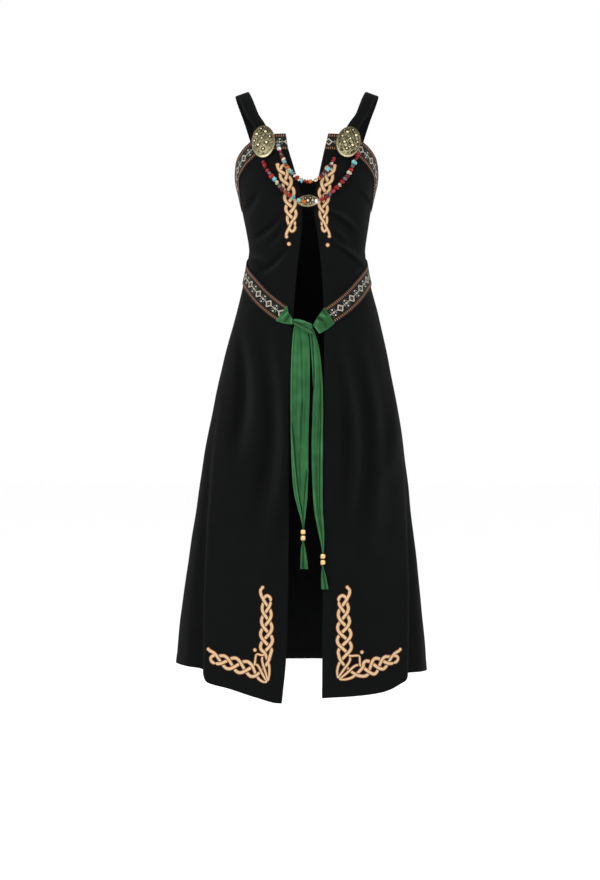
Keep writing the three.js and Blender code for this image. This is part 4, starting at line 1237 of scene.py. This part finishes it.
def strand_pair(cloth, path):
    """A strand along a path of (x, z, over, share of the full width), in millimetres, and the
    dark outline that shows on both sides of it."""
    line = smooth_line(path, 1.25)
    plan, over, widths = line[:, :2] * MM, np.clip(line[:, 2], -1, 1), sizes().strand * line[:, 3]
    lifts = UNDER + OVER * (0.5 + 0.5 * over)
    strand = laid_cord("strand", cloth, plan, lifts, widths, STRAND_DOME)
    widths = widths + 2 * sizes().outline
    return strand, laid_cord("outline", cloth, plan, lifts - OUTLINE_DROP, widths, OUTLINE_DOME)


def dot_pair(cloth, x, z, radius):
    """A round of stitches and its outline."""
    made = []
    for grow, lift, flat in ((0.0, 0.0012, 0.28), (sizes().outline, 0.0008, 0.2)):
        p, n = on_front(cloth, x * MM, z * MM, lift)
        bpy.ops.mesh.primitive_uv_sphere_add(
            segments=18, ring_count=9, radius=radius * MM + grow
        )
        dot = bpy.context.active_object
        dot.scale = (1, 1, flat)
        dot.rotation_mode = "QUATERNION"
        dot.rotation_quaternion = n.to_track_quat("Z", "Y")
        dot.location = p
        bpy.ops.object.transform_apply(location=True, rotation=True, scale=True)
        bpy.ops.object.shade_smooth()
        dot.data.uv_layers[0].name = "cloth"
        made.append(dot)
        deselect()
    return made


class DRESS_OT_embroidery(Operator):
    """Lays the plaited embroidery beside the opening and round the hem's corners"""

    bl_idname = "dress.embroidery"
    bl_label = "Embroidery"

    def execute(self, context):
        for side in ("left", "right"):
            cloth = surface_of(f"front_cloth_{side}")
            self.finish(f"chest_plait_{side}", self.chest(cloth, side), f"embroidery_chest_{side}")
            self.finish(f"hem_plait_{side}", self.hem(cloth, side), f"embroidery_hem_{side}")
        return {"FINISHED"}

    def finish(self, name, pairs, node):
        strands, outlines = zip(*pairs)
        for piece, parts, thread, rgb, roughness, nodes in (
            (name, strands, "peach_thread", colours().peach, 0.5, [node]),
            (name + "_outline", outlines, "rust_thread", colours().rust, 0.6, []),
        ):
            finish = material(thread, thread_material, thread, tuple(rgb), roughness)
            finish_piece(join(piece, parts), finish, "peach_thread", *nodes)

    def chest(self, cloth, side):
        line, repeat, dot = CHEST_PLAITS[side]
        strands, frames = plait(line, repeat, 1 if side == "left" else -1, 1 / 6)
        tips = [
            finish_end(strands, frames[0], True, TOP_TURN, TOP_TAIL),
            finish_end(strands, frames[1], False, LOW_TURN, LOW_TAIL),
        ]
        pairs = [strand_pair(cloth, path) for path in strands]
        pairs += [dot_pair(cloth, x, z, radius) for (x, z), radius in zip(tips, (4.1, 3.6))]
        return pairs + [dot_pair(cloth, *dot, 4.0)]

    def hem(self, cloth, side):
        (x0, z0), (ox, oz), (ux, uz), upright, level = HEM_CORNERS[side]

        def place(out, up):
            return x0 + ox * out + ux * up, z0 + oz * out + uz * up

        def corner(plan, swapped):
            return [
                (*(place(up, out) if swapped else place(out, up)), over, share)
                for out, up, over, share in plan
            ]

        mirror = 1 if side == "left" else -1
        paths, tips = [], []
        for swapped, (start, swings), repeat, tail in (
            (False, upright, 82, HEM_TAIL), (True, level, 70, SIDE_TAIL),
        ):
            joint = place(*(CORNER_JOINT[::-1] if swapped else CORNER_JOINT))
            line = [
                (*(a + (b - a) * n / 3 for a, b in zip(start, joint)), swing)
                for n, swing in enumerate(swings)
            ]
            strands, frames = plait(line, repeat, -mirror if swapped else mirror, 1 / 4)
            tips.append(finish_end(strands, frames[0], True, LOW_TURN, tail))
            _, _, (sx, sz) = frames[1]
            edge = max(strands, key=lambda s: s[-1][0] * sx + s[-1][1] * sz)
            inward, outward = sorted(
                (s for s in strands if s is not edge),
                key=lambda s: (s[-2][0] - s[-1][0]) * sx + (s[-2][1] - s[-1][1]) * sz,
            )
            paths.append(inward[:-1] + corner(CORNER_IN, swapped))
            paths.append(corner(CORNER_RISE, swapped))
            paths.append(outward[:-1] + corner(CORNER_TOP, swapped))
            paths.append(edge[:-1] + corner(CORNER_ACROSS, swapped))
        # The upright's outermost strand crosses the corner and goes on as the level plait's.
        paths[3] += paths.pop(7)[-2::-1]
        pairs = [strand_pair(cloth, path) for path in paths]
        pairs += [dot_pair(cloth, x, z, 3.5) for x, z in tips]
        return pairs + [dot_pair(cloth, *place(*CORNER_DOT), 3.6)]


# ----------------------------------------------------------------------------------------------
# Brooches and clasp


def stud(x, y, z, size, flat=0.75, rings=8):
    """A small dome on the bronze, at a place in millimetres."""
    bpy.ops.mesh.primitive_uv_sphere_add(
        segments=12 if size > 1.5 else 8, ring_count=rings, radius=size * MM,
        location=(x * MM, y * MM, z * MM), scale=(1, 1, flat),
    )
    return bpy.context.active_object


def rib(points, width, height):
    """A raised rib along a line of places on the dome, in millimetres."""
    line, up = [Vector(p) * MM for p in points], Vector((0, 0, 1))
    sides = [ahead.cross(up).normalized() for ahead in headings(line)]
    section = round_section(width * MM / 2, height * MM)
    return sweep("rib", line, sides, [up] * len(line), section)


def oval_ring(rx, ry, z, thick, rings=48):
    """A round bar bent to an oval, in millimetres."""
    bpy.ops.mesh.primitive_torus_add(
        major_segments=rings, minor_segments=8, major_radius=1.0, minor_radius=thick / max(rx, ry),
    )
    ring = bpy.context.active_object
    ring.scale = (rx * MM, ry * MM, max(rx, ry) * MM)
    ring.location.z = z * MM
    bpy.ops.object.transform_apply(location=True, rotation=True, scale=True)
    return ring


def bowl(half_width, half_height, rim, rise, band):
    """A domed oval inside a plain band, closed at the back."""
    bpy.ops.mesh.primitive_circle_add(vertices=112, radius=1.0, fill_type="NGON")
    dish = bpy.context.active_object
    dish.scale = (half_width * MM, half_height * MM, 1)
    bpy.ops.object.transform_apply(scale=True)
    bpy.ops.object.mode_set(mode="EDIT")
    bpy.ops.mesh.select_all(action="SELECT")
    before, height = 1.0, 0.0
    shares = [1.0, 0.985, band + 0.01, *(band * (1 - n / 30) for n in range(30))]
    for share in shares:
        up = float(dome_at(half_width * share, 0, half_width, half_height, rim, rise, band))
        bpy.ops.mesh.extrude_region_move(
            TRANSFORM_OT_translate={"value": (0, 0, (up - height) * MM)}
        )
        bpy.ops.transform.resize(value=(share / before, share / before, 1))
        before, height = share, up
    bpy.ops.object.mode_set(mode="OBJECT")
    return dish


def dome_at(x, y, half_width, half_height, rim, rise, band):
    """The height of the plain bowl at a place, in millimetres."""
    share = np.hypot(x / half_width, y / half_height)
    slope = rim + 1.2 * np.clip((1 - share) / (1 - band), 0, 1)
    return slope + rise * np.sqrt(np.clip(1 - (share / band) ** 2, 0, 1))


def hollow_at(x, y, hollows):
    """How deep a place lies in the hollows, each (x, y, radius of its middle, half its width)."""
    depth = np.zeros(np.shape(x))
    for hx, hy, radius, half in hollows:
        away = np.abs(np.hypot(x - hx, y - hy) - radius) / half
        depth = np.maximum(depth, np.exp(-(away**2)))
    return depth


def store_wear_and_light(piece, top, band, hollows, high):
    """Stores how bright each point is: bright where it stands high above the plain bowl's top, as
    worn metal, dark in the hollows, and even on the band. The lower end is lighter than the upper
    one, as a painted highlight below and painted shade above."""
    places = np.zeros(len(piece.data.vertices) * 3)
    piece.data.vertices.foreach_get("co", places)
    x, y, z = (places.reshape(-1, 3) / MM).T
    brightness = 0.32 + 0.68 * np.clip((z - top(x, y)) / high, -0.2, 1)
    brightness -= 0.6 * hollow_at(x, y, hollows) * (z - top(x, y) < 0.35 * high)
    # Lighter towards the lower end and darker towards the upper: a painted highlight and painted
    # shade.
    brightness = np.where(band(x, y), 0.5, brightness) - 0.2 * y / np.abs(y).max()
    store(piece, "relief", np.clip(brightness, 0, 1))


def sink(dish, hollows, depth):
    """Presses the hollows into the dome, and leaves the rim as it is."""
    for v in dish.data.vertices:
        if v.co.z > 0.0028:
            v.co.z -= depth * MM * float(hollow_at(v.co.x / MM, v.co.y / MM, hollows))


def place_on(piece, cloth, x, z, lift, lean):
    """Turns a piece made flat, facing +Z, to lie on the front of the dress, with its top leaning
    so many degrees to the wearer's left as seen from the front."""
    p, n = on_front(cloth, x * MM, z * MM, lift * MM)
    sx, sz = math.sin(math.radians(lean)), math.cos(math.radians(lean))
    up = Vector((sx, -(sx * n.x + sz * n.z) / n.y, sz)).normalized()
    turn = Matrix((up.cross(n), up, n)).transposed()
    piece.data.transform(Matrix.Translation(p) @ turn.to_4x4())
    piece.data.update()


def bronze_piece(name, parts, top, band, hollows, high):
    """Joins the parts of a bronze, still flat and facing +Z, and stores where it is worn and where
    light is painted on it.
    """
    for part in parts:
        select_only(part)
        bpy.ops.object.transform_apply(location=True, rotation=True, scale=True)
    piece = join(name, parts)
    store_wear_and_light(piece, top, band, hollows, high)
    select_only(piece)
    bpy.ops.object.shade_smooth_by_angle(angle=math.radians(40))
    deselect()
    return piece


class Dome:
    """The plain dome that an ornament stands on. Places on it are in millimetres."""

    def __init__(self, shape, band, seed):
        self.shape, self.band_from = shape, band
        self.width, self.height = shape[:2]
        self.chance = random.Random(seed)

    def top(self, x, y):
        return dome_at(x, y, *self.shape)

    def band(self, x, y):
        """Whether a place lies on the plain band, which begins at a share of the oval."""
        return np.hypot(x / self.width, y / self.height) > self.band_from

    def anywhere(self, reach):
        """A random place inside a share of the oval."""
        r, a = math.sqrt(self.chance.random()) * reach, self.chance.random() * math.tau
        return self.width * r * math.cos(a), self.height * r * math.sin(a)

    def stud(self, x, y, lift, *shape):
        return stud(x, y, self.top(x, y) + lift, *shape)

    def rib(self, places, width, height):
        line = [(x, y, float(self.top(x, y)) + 0.2) for x, y in places]
        return rib(line, width, height)

    def ring(self, x, y, radius, thick, rings):
        """A round bar about a place, bent to follow the dome."""
        ring = oval_ring(radius, radius, 0.0, thick, rings)
        for v in ring.data.vertices:
            v.co.z += float(self.top(x + v.co.x / MM, y + v.co.y / MM)) * MM
        ring.location.x, ring.location.y = x * MM, y * MM
        return ring


def room(x, y, taken):
    """How far a place lies from the nearest of those taken, each (x, y, radius)."""
    return min(math.hypot(x - p, y - q) - radius for p, q, radius in taken)


def brooch_parts(seed):
    """The parts of an oval bowl brooch: a dome in a plain band, lattice ribs, bosses with a
    moat and a collar, small pits and grains."""
    inner_rim, most_pits, most_grains = 0.905, 64, 84
    plain = Dome(BROOCH_SHAPE, inner_rim, seed)
    hollows = [(x, y, size + 1.5, 0.75) for x, y, size in BROOCH_BOSSES]
    taken = [(x, y, size + 2.4) for x, y, size in BROOCH_BOSSES]
    pits = []
    while len(pits) < most_pits:
        x, y = plain.anywhere(0.84)
        if room(x, y, taken + pits) > 0.7:
            pits.append((x, y, 0.8))
        elif plain.chance.random() < 0.02:
            break
    hollows += [(x, y, 0.0, plain.chance.uniform(0.9, 1.5)) for x, y, _ in pits]
    dish = bowl(*BROOCH_SHAPE)
    sink(dish, hollows, 0.8)
    parts = [dish, oval_ring(24.6, 37.3, 2.1, 0.75)]
    parts.append(oval_ring(plain.width * inner_rim, plain.height * inner_rim, 3.2, 0.45))
    for x, y, size in BROOCH_BOSSES:
        parts.append(plain.stud(x, y, 0.4, size, 0.8))
        parts.append(plain.ring(x, y, size + 2.6, 0.42, 22))
    parts.append(plain.ring(*BROOCH_BOSSES[-1][:2], 6.6, 0.5, 28))
    for a, b in BROOCH_LATTICE:
        (x0, y0, _), (x1, y1, _) = BROOCH_BOSSES[a], BROOCH_BOSSES[b]
        long = math.hypot(x1 - x0, y1 - y0)
        start, share = (0.3, 0.4) if long < 15 else (0.24, 0.52)
        for off in (-1.2, 1.2):
            sx, sy = -(y1 - y0) / long * off, (x1 - x0) / long * off
            along = [start + share * i / 8 for i in range(9)]
            line = [(x0 + (x1 - x0) * t + sx, y0 + (y1 - y0) * t + sy) for t in along]
            parts.append(plain.rib(line, 1.0, 0.75))
    grains = 0
    while grains < most_grains:
        x, y = plain.anywhere(0.86)
        if room(x, y, taken) >= 0.6:
            parts.append(plain.stud(x, y, 0.1, plain.chance.uniform(0.6, 1.15), 0.9, 5))
            grains += 1
    return parts, plain.top, plain.band, hollows


def clasp_parts():
    """The parts of the oval clasp: a low dome, a rim of grains, scrolls and bosses."""
    grains, reach = 38, 0.84
    plain = Dome(CLASP_SHAPE, 0.985, 11)
    hollows = [(x, y, size + 1.1, 0.6) for x, y, size in CLASP_BOSSES]
    dish = bowl(*CLASP_SHAPE)
    sink(dish, hollows, 0.5)
    parts = [dish, oval_ring(21.3, 11.3, 1.8, 0.6, 56)]
    parts += [plain.stud(x, y, 0.3, size, 0.75) for x, y, size in CLASP_BOSSES]
    for sx, sy in ((-1, -1), (-1, 1), (1, -1), (1, 1)):
        line = []
        for t in np.linspace(0, 1, 15):
            a, r = math.pi * 1.5 * t, 4.2 - 2.2 * t
            x, y = sx * (11.5 + r * math.cos(a)), sy * (4.2 + r * math.sin(a) * 0.9)
            inside = min(1.0, reach / math.hypot(x / plain.width, y / plain.height))
            line.append((x * inside, y * inside))
        parts.append(plain.rib(line, 1.0, 0.7))
    for i in range(grains):
        a = math.tau * i / grains
        size = plain.chance.uniform(0.6, 0.85)
        parts.append(plain.stud(19.4 * math.cos(a), 10 * math.sin(a), 0.2, size, 0.9, 5))
    return parts, plain.top, plain.band, hollows


class DRESS_OT_brooches(Operator):
    """Makes the two oval bowl brooches that pin the straps"""

    bl_idname = "dress.brooches"
    bl_label = "Brooches"

    def execute(self, context):
        for side, (x, z, lean, seed) in BROOCHES.items():
            piece = bronze_piece(f"bowl_brooch_{side}", *brooch_parts(seed), 1.4)
            place_on(piece, surface_of(f"front_cloth_{side}"), x, z, 5.0, lean)
            finish = material("aged_bronze", bronze_material)
            finish_piece(piece, finish, "bronze", f"brooch_{side}")
        return {"FINISHED"}


class DRESS_OT_clasp(Operator):
    """Makes the oval clasp that joins the fronts"""

    bl_idname = "dress.clasp"
    bl_label = "Clasp"

    def execute(self, context):
        low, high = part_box("clasp")
        piece = bronze_piece("oval_clasp", *clasp_parts(), 1.2)
        turn = Matrix.Rotation(math.radians(90), 4, "X") @ Matrix.Rotation(math.radians(2), 4, "Z")
        middle = (low + high) / 2
        place = Matrix.Translation((middle.x, high.y - 0.0002, middle.z))
        piece.data.transform(place @ turn)
        finish_piece(piece, material("aged_bronze", bronze_material), "bronze", "clasp")
        return {"FINISHED"}


# ----------------------------------------------------------------------------------------------
# Bead strings


def chip(kind, chance, wide, deep):
    """One polished chip or short drum with a soft, uneven shape, its hole along Z."""
    drum = kind in ("turquoise", "amber", "slate") and chance.random() < 0.6
    if drum:
        bpy.ops.mesh.primitive_cylinder_add(vertices=12, radius=wide * 0.46, depth=deep)
        bead = bpy.context.active_object
        bevel = bead.modifiers.new("edge", "BEVEL")
        bevel.width, bevel.segments, bevel.limit_method = deep * 0.16, 2, "ANGLE"
        bpy.ops.object.modifier_apply(modifier="edge")
    else:
        bpy.ops.mesh.primitive_ico_sphere_add(subdivisions=3, radius=0.5)
        bead = bpy.context.active_object
        bead.scale = (wide * chance.uniform(0.95, 1.15), wide * chance.uniform(0.75, 1), deep * 1.1)
        bpy.ops.object.transform_apply(scale=True)
    shift = Vector([chance.uniform(0, 40) for _ in range(3)])
    rough = 0.12 if drum else 0.42
    for v in bead.data.vertices:
        v.co *= 1 + rough * noise.noise(v.co / wide * 1.7 + shift)
    bpy.ops.object.shade_smooth_by_angle(angle=math.radians(35))
    deselect()
    return bead


def bead_string(name, node, route, order, seed):
    """A thread along its route, and the beads on it, joined by colour."""
    chance, reach = random.Random(seed), 4
    path = smooth_line([[c * MM for c in p] for p in route], 0.0005)
    line = [Vector(p) for p in path]
    last = len(line) - 1
    long = float(distances(path)[-1])
    ways = headings(line)[::4]
    sides = [ahead.cross(Vector((0, -1, 0))).normalized() for ahead in ways]
    ups = [side.cross(ahead) for side, ahead in zip(sides, ways)]
    radius = sizes().thread / 2
    thread = sweep(name, line[::4], sides, ups, round_section(radius, radius))
    finish_piece(thread, material("black_thread", stitch_material), "mixed_beads", node)
    kinds = [word.split("*")[0] for word in order]
    shares = [float((word.split("*") + ["1"])[1]) * chance.uniform(0.86, 1.14) for word in order]
    usual = long / sum(shares)
    groups, along = {}, 0.0
    for kind, share in zip(kinds, shares):
        deep = share * usual
        at = min(max(round((along + deep / 2) / long * last), reach), last - reach)
        along += deep
        if kind == "bare":
            continue
        wide = sizes().bead * chance.uniform(0.84, 1.12) * min(1.0, 0.4 + 0.6 * share)
        if chance.random() < 0.15:
            wide, deep = wide * 1.2, deep * 0.75
        bead = chip(kind, chance, wide, deep * 0.98)
        ahead = (line[at + reach] - line[at - reach]).normalized()
        turn = ahead.to_track_quat("Z", "Y").to_matrix()
        turn = turn @ Matrix.Rotation(chance.uniform(0, math.tau), 3, "Z")
        turn = turn @ Matrix.Rotation(chance.uniform(-0.25, 0.25), 3, "X")
        bead.data.transform(Matrix.Translation(line[at]) @ turn.to_4x4())
        groups.setdefault(kind, []).append(bead)
    for kind, found in groups.items():
        piece = join(f"{name}_{kind}", found)
        finish = material(kind + "_bead", bead_material, kind)
        finish_piece(piece, finish, "mixed_beads")
    print(f"{name}: {long:.3f} m")


class DRESS_OT_bead_strings(Operator):
    """Hangs the two strings of mixed beads between the brooches"""

    bl_idname = "dress.bead_strings"
    bl_label = "Bead strings"

    def execute(self, context):
        bead_string("bead_thread_upper", "bead_string_upper", UPPER_STRING, UPPER_BEADS, 21)
        bead_string("bead_thread_lower", "bead_string_lower", LOWER_STRING, LOWER_BEADS, 22)
        return {"FINISHED"}


# ----------------------------------------------------------------------------------------------
# Belt


class DRESS_OT_belt(Operator):
    """Makes the woven belt band round the waist"""

    bl_idname = "dress.belt"
    bl_label = "Belt band"

    def execute(self, context):
        thick = 0.0013
        points, down, along = finer(skin("belt_band", 3), 0.003, 0.0035)
        inner = points - normals(points) * thick
        piece = shell("belt_ribbon", points, inner, belt_map(points))
        finish = material("woven_ribbon", ribbon_material)
        finish_piece(piece, finish, "woven_ribbon", "belt_band")
        return {"FINISHED"}


def belt_map(points):
    """Each point's place on the belt's ribbon, square to its middle. The pattern ends with a
    diamond under the right end's green cloth, and four fifths of a repeat before the left's."""
    uv = cloth_map(points)
    uv[..., 1] *= sizes().ribbon_width / uv[-1:, :, 1]
    run = uv[len(points) // 2, :, 0]
    run = np.abs(run - run[-1 if points[0, 0, 0] > points[0, -1, 0] else 0])
    long, repeat = run.max(), sizes().repeat
    fitted = repeat * (round(long / repeat - 0.8) + 0.8) / long
    uv[..., 0] = (run * fitted)[None, :]
    return uv


def folds_of(across, along, folds):
    """The relief of some folds, each from (along, across) to (along, across) with its width and
    its height in millimetres, which is below zero for a trough."""
    relief = np.zeros(np.broadcast(across, along).shape)
    for (a0, c0), (a1, c1), width, height in folds:
        share = (along - a0) / (a1 - a0)
        fade = np.clip(np.minimum(share, 1 - share) / 0.16 + 0.35, 0, 1)
        fade = np.where(np.abs(share - 0.5) < 0.56, fade, 0)
        away = (across - c0 - (c1 - c0) * share) / width
        relief += height * MM * fade * np.exp(-(away**2))
    return relief


def green_strip(name, node, rows, folds, lengthwise):
    """A strip of green cloth on its solid's outer face, with its folds as a relief. Then its
    outer points, and its sizes down and along them."""
    points, down, along = finer(skin(node, rows), 0.0035 if lengthwise else 0.0011, 0.0011)
    s, t = (along / along[-1])[None, :], (down / down[-1])[:, None]
    if lengthwise:
        fold_shading = folds_of(s, t, folds)
        width = np.linalg.norm(points[:, -1] - points[:, 0], axis=1)[:, None]
        relief = fold_shading * np.clip(width / 0.02, 0.15, 1)
    else:
        relief = fold_shading = folds_of(t, s, folds)
    relief = relief + soft_unevenness(points, 0.0009, 55.0)
    fold_shading = fold_shading + soft_unevenness(points, 0.0005, 60.0) + soft_unevenness(points, 0.0006, 22.0)
    outer = points + normals(points) * relief[..., None]
    piece = shell(name, outer, outer - normals(outer) * sizes().green, cloth_map(points))
    # Painted highlight on the folds' ridges and painted shade in their troughs, with random tone,
    # and at least a faint painted highlight along the rims.
    store_fold_shading(piece, (fold_shading - 0.0001) / 0.0016, 0.3)
    finish_piece(piece, material("green_cloth", green_material), "green_cloth", node)
    return piece, outer, float(down[-1]), float(along[-1])


class DRESS_OT_knot(Operator):
    """Makes the green ends of the belt, the knot and the two hanging ties"""

    bl_idname = "dress.knot"
    bl_label = "Knot and ties"

    def execute(self, context):
        for side, rows in (("right", 25), ("left", 23)):
            piece, outer, down, _ = green_strip(
                f"tie_cloth_{side}", f"tie_{side}", rows, TIE_FOLDS[side], True
            )
            widest = float(np.linalg.norm(outer[:, -1] - outer[:, 0], axis=1).max())
            flat = (widest * 1.12, down)
            area = min(max(cloth_area(outer), 0.31 * flat[0] * flat[1]), flat[0] * flat[1])
        for side in ("left", "right"):
            piece, _, down, along = green_strip(
                f"belt_end_cloth_{side}", f"belt_end_{side}", 3, END_FOLDS[side], False
            )
        self.knot()
        return {"FINISHED"}

    def knot(self):
        low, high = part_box("belt_knot")
        knot = quad_copy("belt_knot")
        knot.name = knot.data.name = "belt_knot_cloth"
        smooth = knot.modifiers.new("smooth", "SUBSURF")
        smooth.levels = smooth.render_levels = 4
        bpy.ops.object.modifier_apply(modifier="smooth")
        knot_fold_shading = []
        for v, out in [(v, v.normal.copy()) for v in knot.data.vertices]:
            p = v.co.copy()
            # t runs from the knot's right end to its left, and s from its lower edge to its upper.
            t = (p.x - low.x) / (high.x - low.x)
            middle = -0.4875 - 0.0145 * t
            half = 0.0045 + 0.0075 * min(1, t * 1.3)
            s = (p.z - middle) / half
            pleat = 0.0
            for place, width, depth in KNOT_PLEATS:
                pleat += depth * math.exp(-(((s - place * (0.4 + 0.6 * t)) / (width * 0.6)) ** 2))
            if out.y < 0:
                p.y += (pleat * 0.9 - 1.4) * MM
            p.z -= 0.003 * max(0.0, min(1.0, (t - 0.3) / 0.7))
            v.co = p + out * noise.noise(p * 160) * 0.0009
            # Painted shade in the pleats and a painted highlight between them, with random tone.
            knot_fold_shading.append(max(-1.0, min(1.0, 0.5 - 0.75 * pleat)) + noise.noise(p * 130) * 0.4)
        store(knot, "fold", knot_fold_shading)
        knot.data.polygons.foreach_set("use_smooth", [True] * len(knot.data.polygons))
        layer = knot.data.uv_layers[0] if knot.data.uv_layers else knot.data.uv_layers.new()
        layer.name = "cloth"
        places = [v.co.xz for v in knot.data.vertices]
        for loop, spot in zip(knot.data.loops, layer.uv):
            spot.vector = places[loop.vertex_index]
        finish_piece(knot, material("green_cloth", green_material), "green_cloth", "belt_knot")
        deselect()


class DRESS_OT_tie_beads(Operator):
    """Makes the four gold beads of the ties"""

    bl_idname = "dress.tie_beads"
    bl_label = "Tie beads"

    # In metres: the bead's radius, that of its open ends, and the width of the lip round them.
    radius, end_radius, lip = 0.0060, 0.0034, 0.0012

    def execute(self, context):
        for name in ("right_upper", "right_lower", "left_upper", "left_lower"):
            low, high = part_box(f"tie_bead_{name}")
            bpy.ops.mesh.primitive_cylinder_add(
                vertices=40, radius=self.end_radius + self.lip, depth=high.z - low.z,
                end_fill_type="NGON",
            )
            bead = bpy.context.active_object
            bpy.ops.object.mode_set(mode="EDIT")
            bpy.ops.mesh.select_all(action="SELECT")
            bpy.ops.mesh.bisect(plane_co=(0, 0, 0), plane_no=(0, 0, 1))
            bpy.ops.object.mode_set(mode="OBJECT")
            self.swell(bead, high.z - low.z)
            bead.location = (low + high) / 2
            bpy.ops.object.transform_apply(location=True, rotation=True, scale=True)
            bpy.ops.object.shade_smooth_by_angle(angle=math.radians(45))
            bead.name = bead.data.name = f"gilt_bead_{name}"
            deselect()
            finish_piece(bead, material("gilt", gilt_material), "gilt", f"tie_bead_{name}")
        return {"FINISHED"}

    def swell(self, bead, height):
        """Hollows the ends inside a lip, rounds the sides and stores painted light: bright round
        the middle and painted shade towards both ends.
        """
        bm = bmesh.new()
        bm.from_mesh(bead.data)
        ends = [f for f in bm.faces if abs(f.normal.z) > 0.9]
        bmesh.ops.inset_individual(bm, faces=ends, thickness=self.lip, depth=-0.0008)
        sides = [e for e in bm.edges if abs((e.verts[0].co - e.verts[1].co).z) > height * 0.3]
        bmesh.ops.subdivide_edges(bm, edges=sides, cuts=5)
        for v in bm.verts:
            if v.co.xy.length > self.end_radius + 0.0002:
                bulge = math.sqrt(max(0.0, 1 - (v.co.z / (height / 2)) ** 2))
                out = self.end_radius + (self.radius - self.end_radius) * bulge
                v.co.xy = v.co.xy.normalized() * out
        bm.to_mesh(bead.data)
        bm.free()
        # Painted light on the gilt: bright round the bead's middle, painted shade towards both
        # ends.
        brightness = [max(0.0, 1 - abs(v.co.z / (height / 2)) ** 3) for v in bead.data.vertices]
        store(bead, "relief", brightness)


# ----------------------------------------------------------------------------------------------
# Stage


class DRESS_OT_stage(Operator):
    """Sets up the camera, the soft studio lights, the pale floor and the backdrop"""

    bl_idname = "dress.stage"
    bl_label = "Stage"

    def execute(self, context):
        scene = context.scene
        camera = bpy.data.cameras.new("camera")
        camera.sensor_width = 36
        camera.angle = math.radians(26.0)
        camera.clip_end = 50
        view = bpy.data.objects.new("camera", camera)
        view.location = (-0.0147, -4.0, -0.729)
        view.rotation_euler = (math.radians(90), 0, 0)
        scene.collection.objects.link(view)
        scene.camera = view

        for name, place, aim, size, power in (
            ("key", (-2.2, -3.4, 1.3), (0, 0, -0.6), 1.6, 60),
            ("fill", (2.6, -3.0, 0.4), (0, 0, -0.7), 2.6, 25),
            ("front", (0, -4.6, 0.9), (0, 0, -0.8), 2.0, 15),
            ("rim_left", (1.9, 1.8, 0.6), (0, 0, -0.6), 1.2, 20),
            ("rim_right", (-1.9, 1.8, 0.6), (0, 0, -0.6), 1.2, 20),
        ):
            light = bpy.data.lights.new(name, "AREA")
            light.size, light.energy = size, power
            lamp = bpy.data.objects.new(name, light)
            lamp.location = place
            lamp.rotation_euler = (Vector(aim) - Vector(place)).to_track_quat("-Z", "Y").to_euler()
            scene.collection.objects.link(lamp)

        world = bpy.data.worlds.new("studio")
        world.use_nodes = True
        world.node_tree.nodes["Background"].inputs["Color"].default_value = (1, 1, 1, 1)
        world.node_tree.nodes["Background"].inputs["Strength"].default_value = 1.0
        scene.world = world
        scene.view_settings.view_transform = "Standard"

        bpy.ops.mesh.primitive_plane_add(size=2, location=(0, 0, -1.5))
        floor = context.active_object
        floor.name = floor.data.name = "floor"
        floor.scale = (30, 30, 1)
        bpy.ops.object.transform_apply(location=True, rotation=True, scale=True)
        deselect()
        s = Shading("pale_floor", Roughness=0.9)
        pale = tuple(colours().floor)
        s.colour(s.mix(s.grain(3.0), shade(pale, 0.98), pale))
        floor.data.materials.append(s.material)
        return {"FINISHED"}


class DRESS_PT_panel(Panel):
    """Lists the parts of the dress"""

    bl_label = "Apron Dress"
    bl_space_type = "VIEW_3D"
    bl_region_type = "UI"
    bl_category = "Apron Dress"

    def draw(self, context):
        for group in (context.scene.dress_sizes, context.scene.dress_colours):
            box = self.layout.box()
            for name in group.__annotations__:
                box.prop(group, name)
        for step in STEPS:
            self.layout.operator(step.bl_idname)


STEPS = (
    DRESS_OT_stage,
    DRESS_OT_bead_strings,
    DRESS_OT_panels,
    DRESS_OT_straps,
    DRESS_OT_edging,
    DRESS_OT_embroidery,
    DRESS_OT_brooches,
    DRESS_OT_clasp,
    DRESS_OT_belt,
    DRESS_OT_knot,
    DRESS_OT_tie_beads,
)
CLASSES = (DressSizes, DressColours, *STEPS, DRESS_PT_panel)


def register():
    for cls in CLASSES:
        bpy.utils.register_class(cls)
    bpy.types.Scene.dress_sizes = PointerProperty(type=DressSizes)
    bpy.types.Scene.dress_colours = PointerProperty(type=DressColours)


def unregister():
    del bpy.types.Scene.dress_colours
    del bpy.types.Scene.dress_sizes
    for cls in reversed(CLASSES):
        bpy.utils.unregister_class(cls)


def main():
    register()
    deselect()
    for step in STEPS:
        group, name = step.bl_idname.split(".")
        getattr(getattr(bpy.ops, group), name)()
        deselect()


if __name__ == "__main__":
    main()
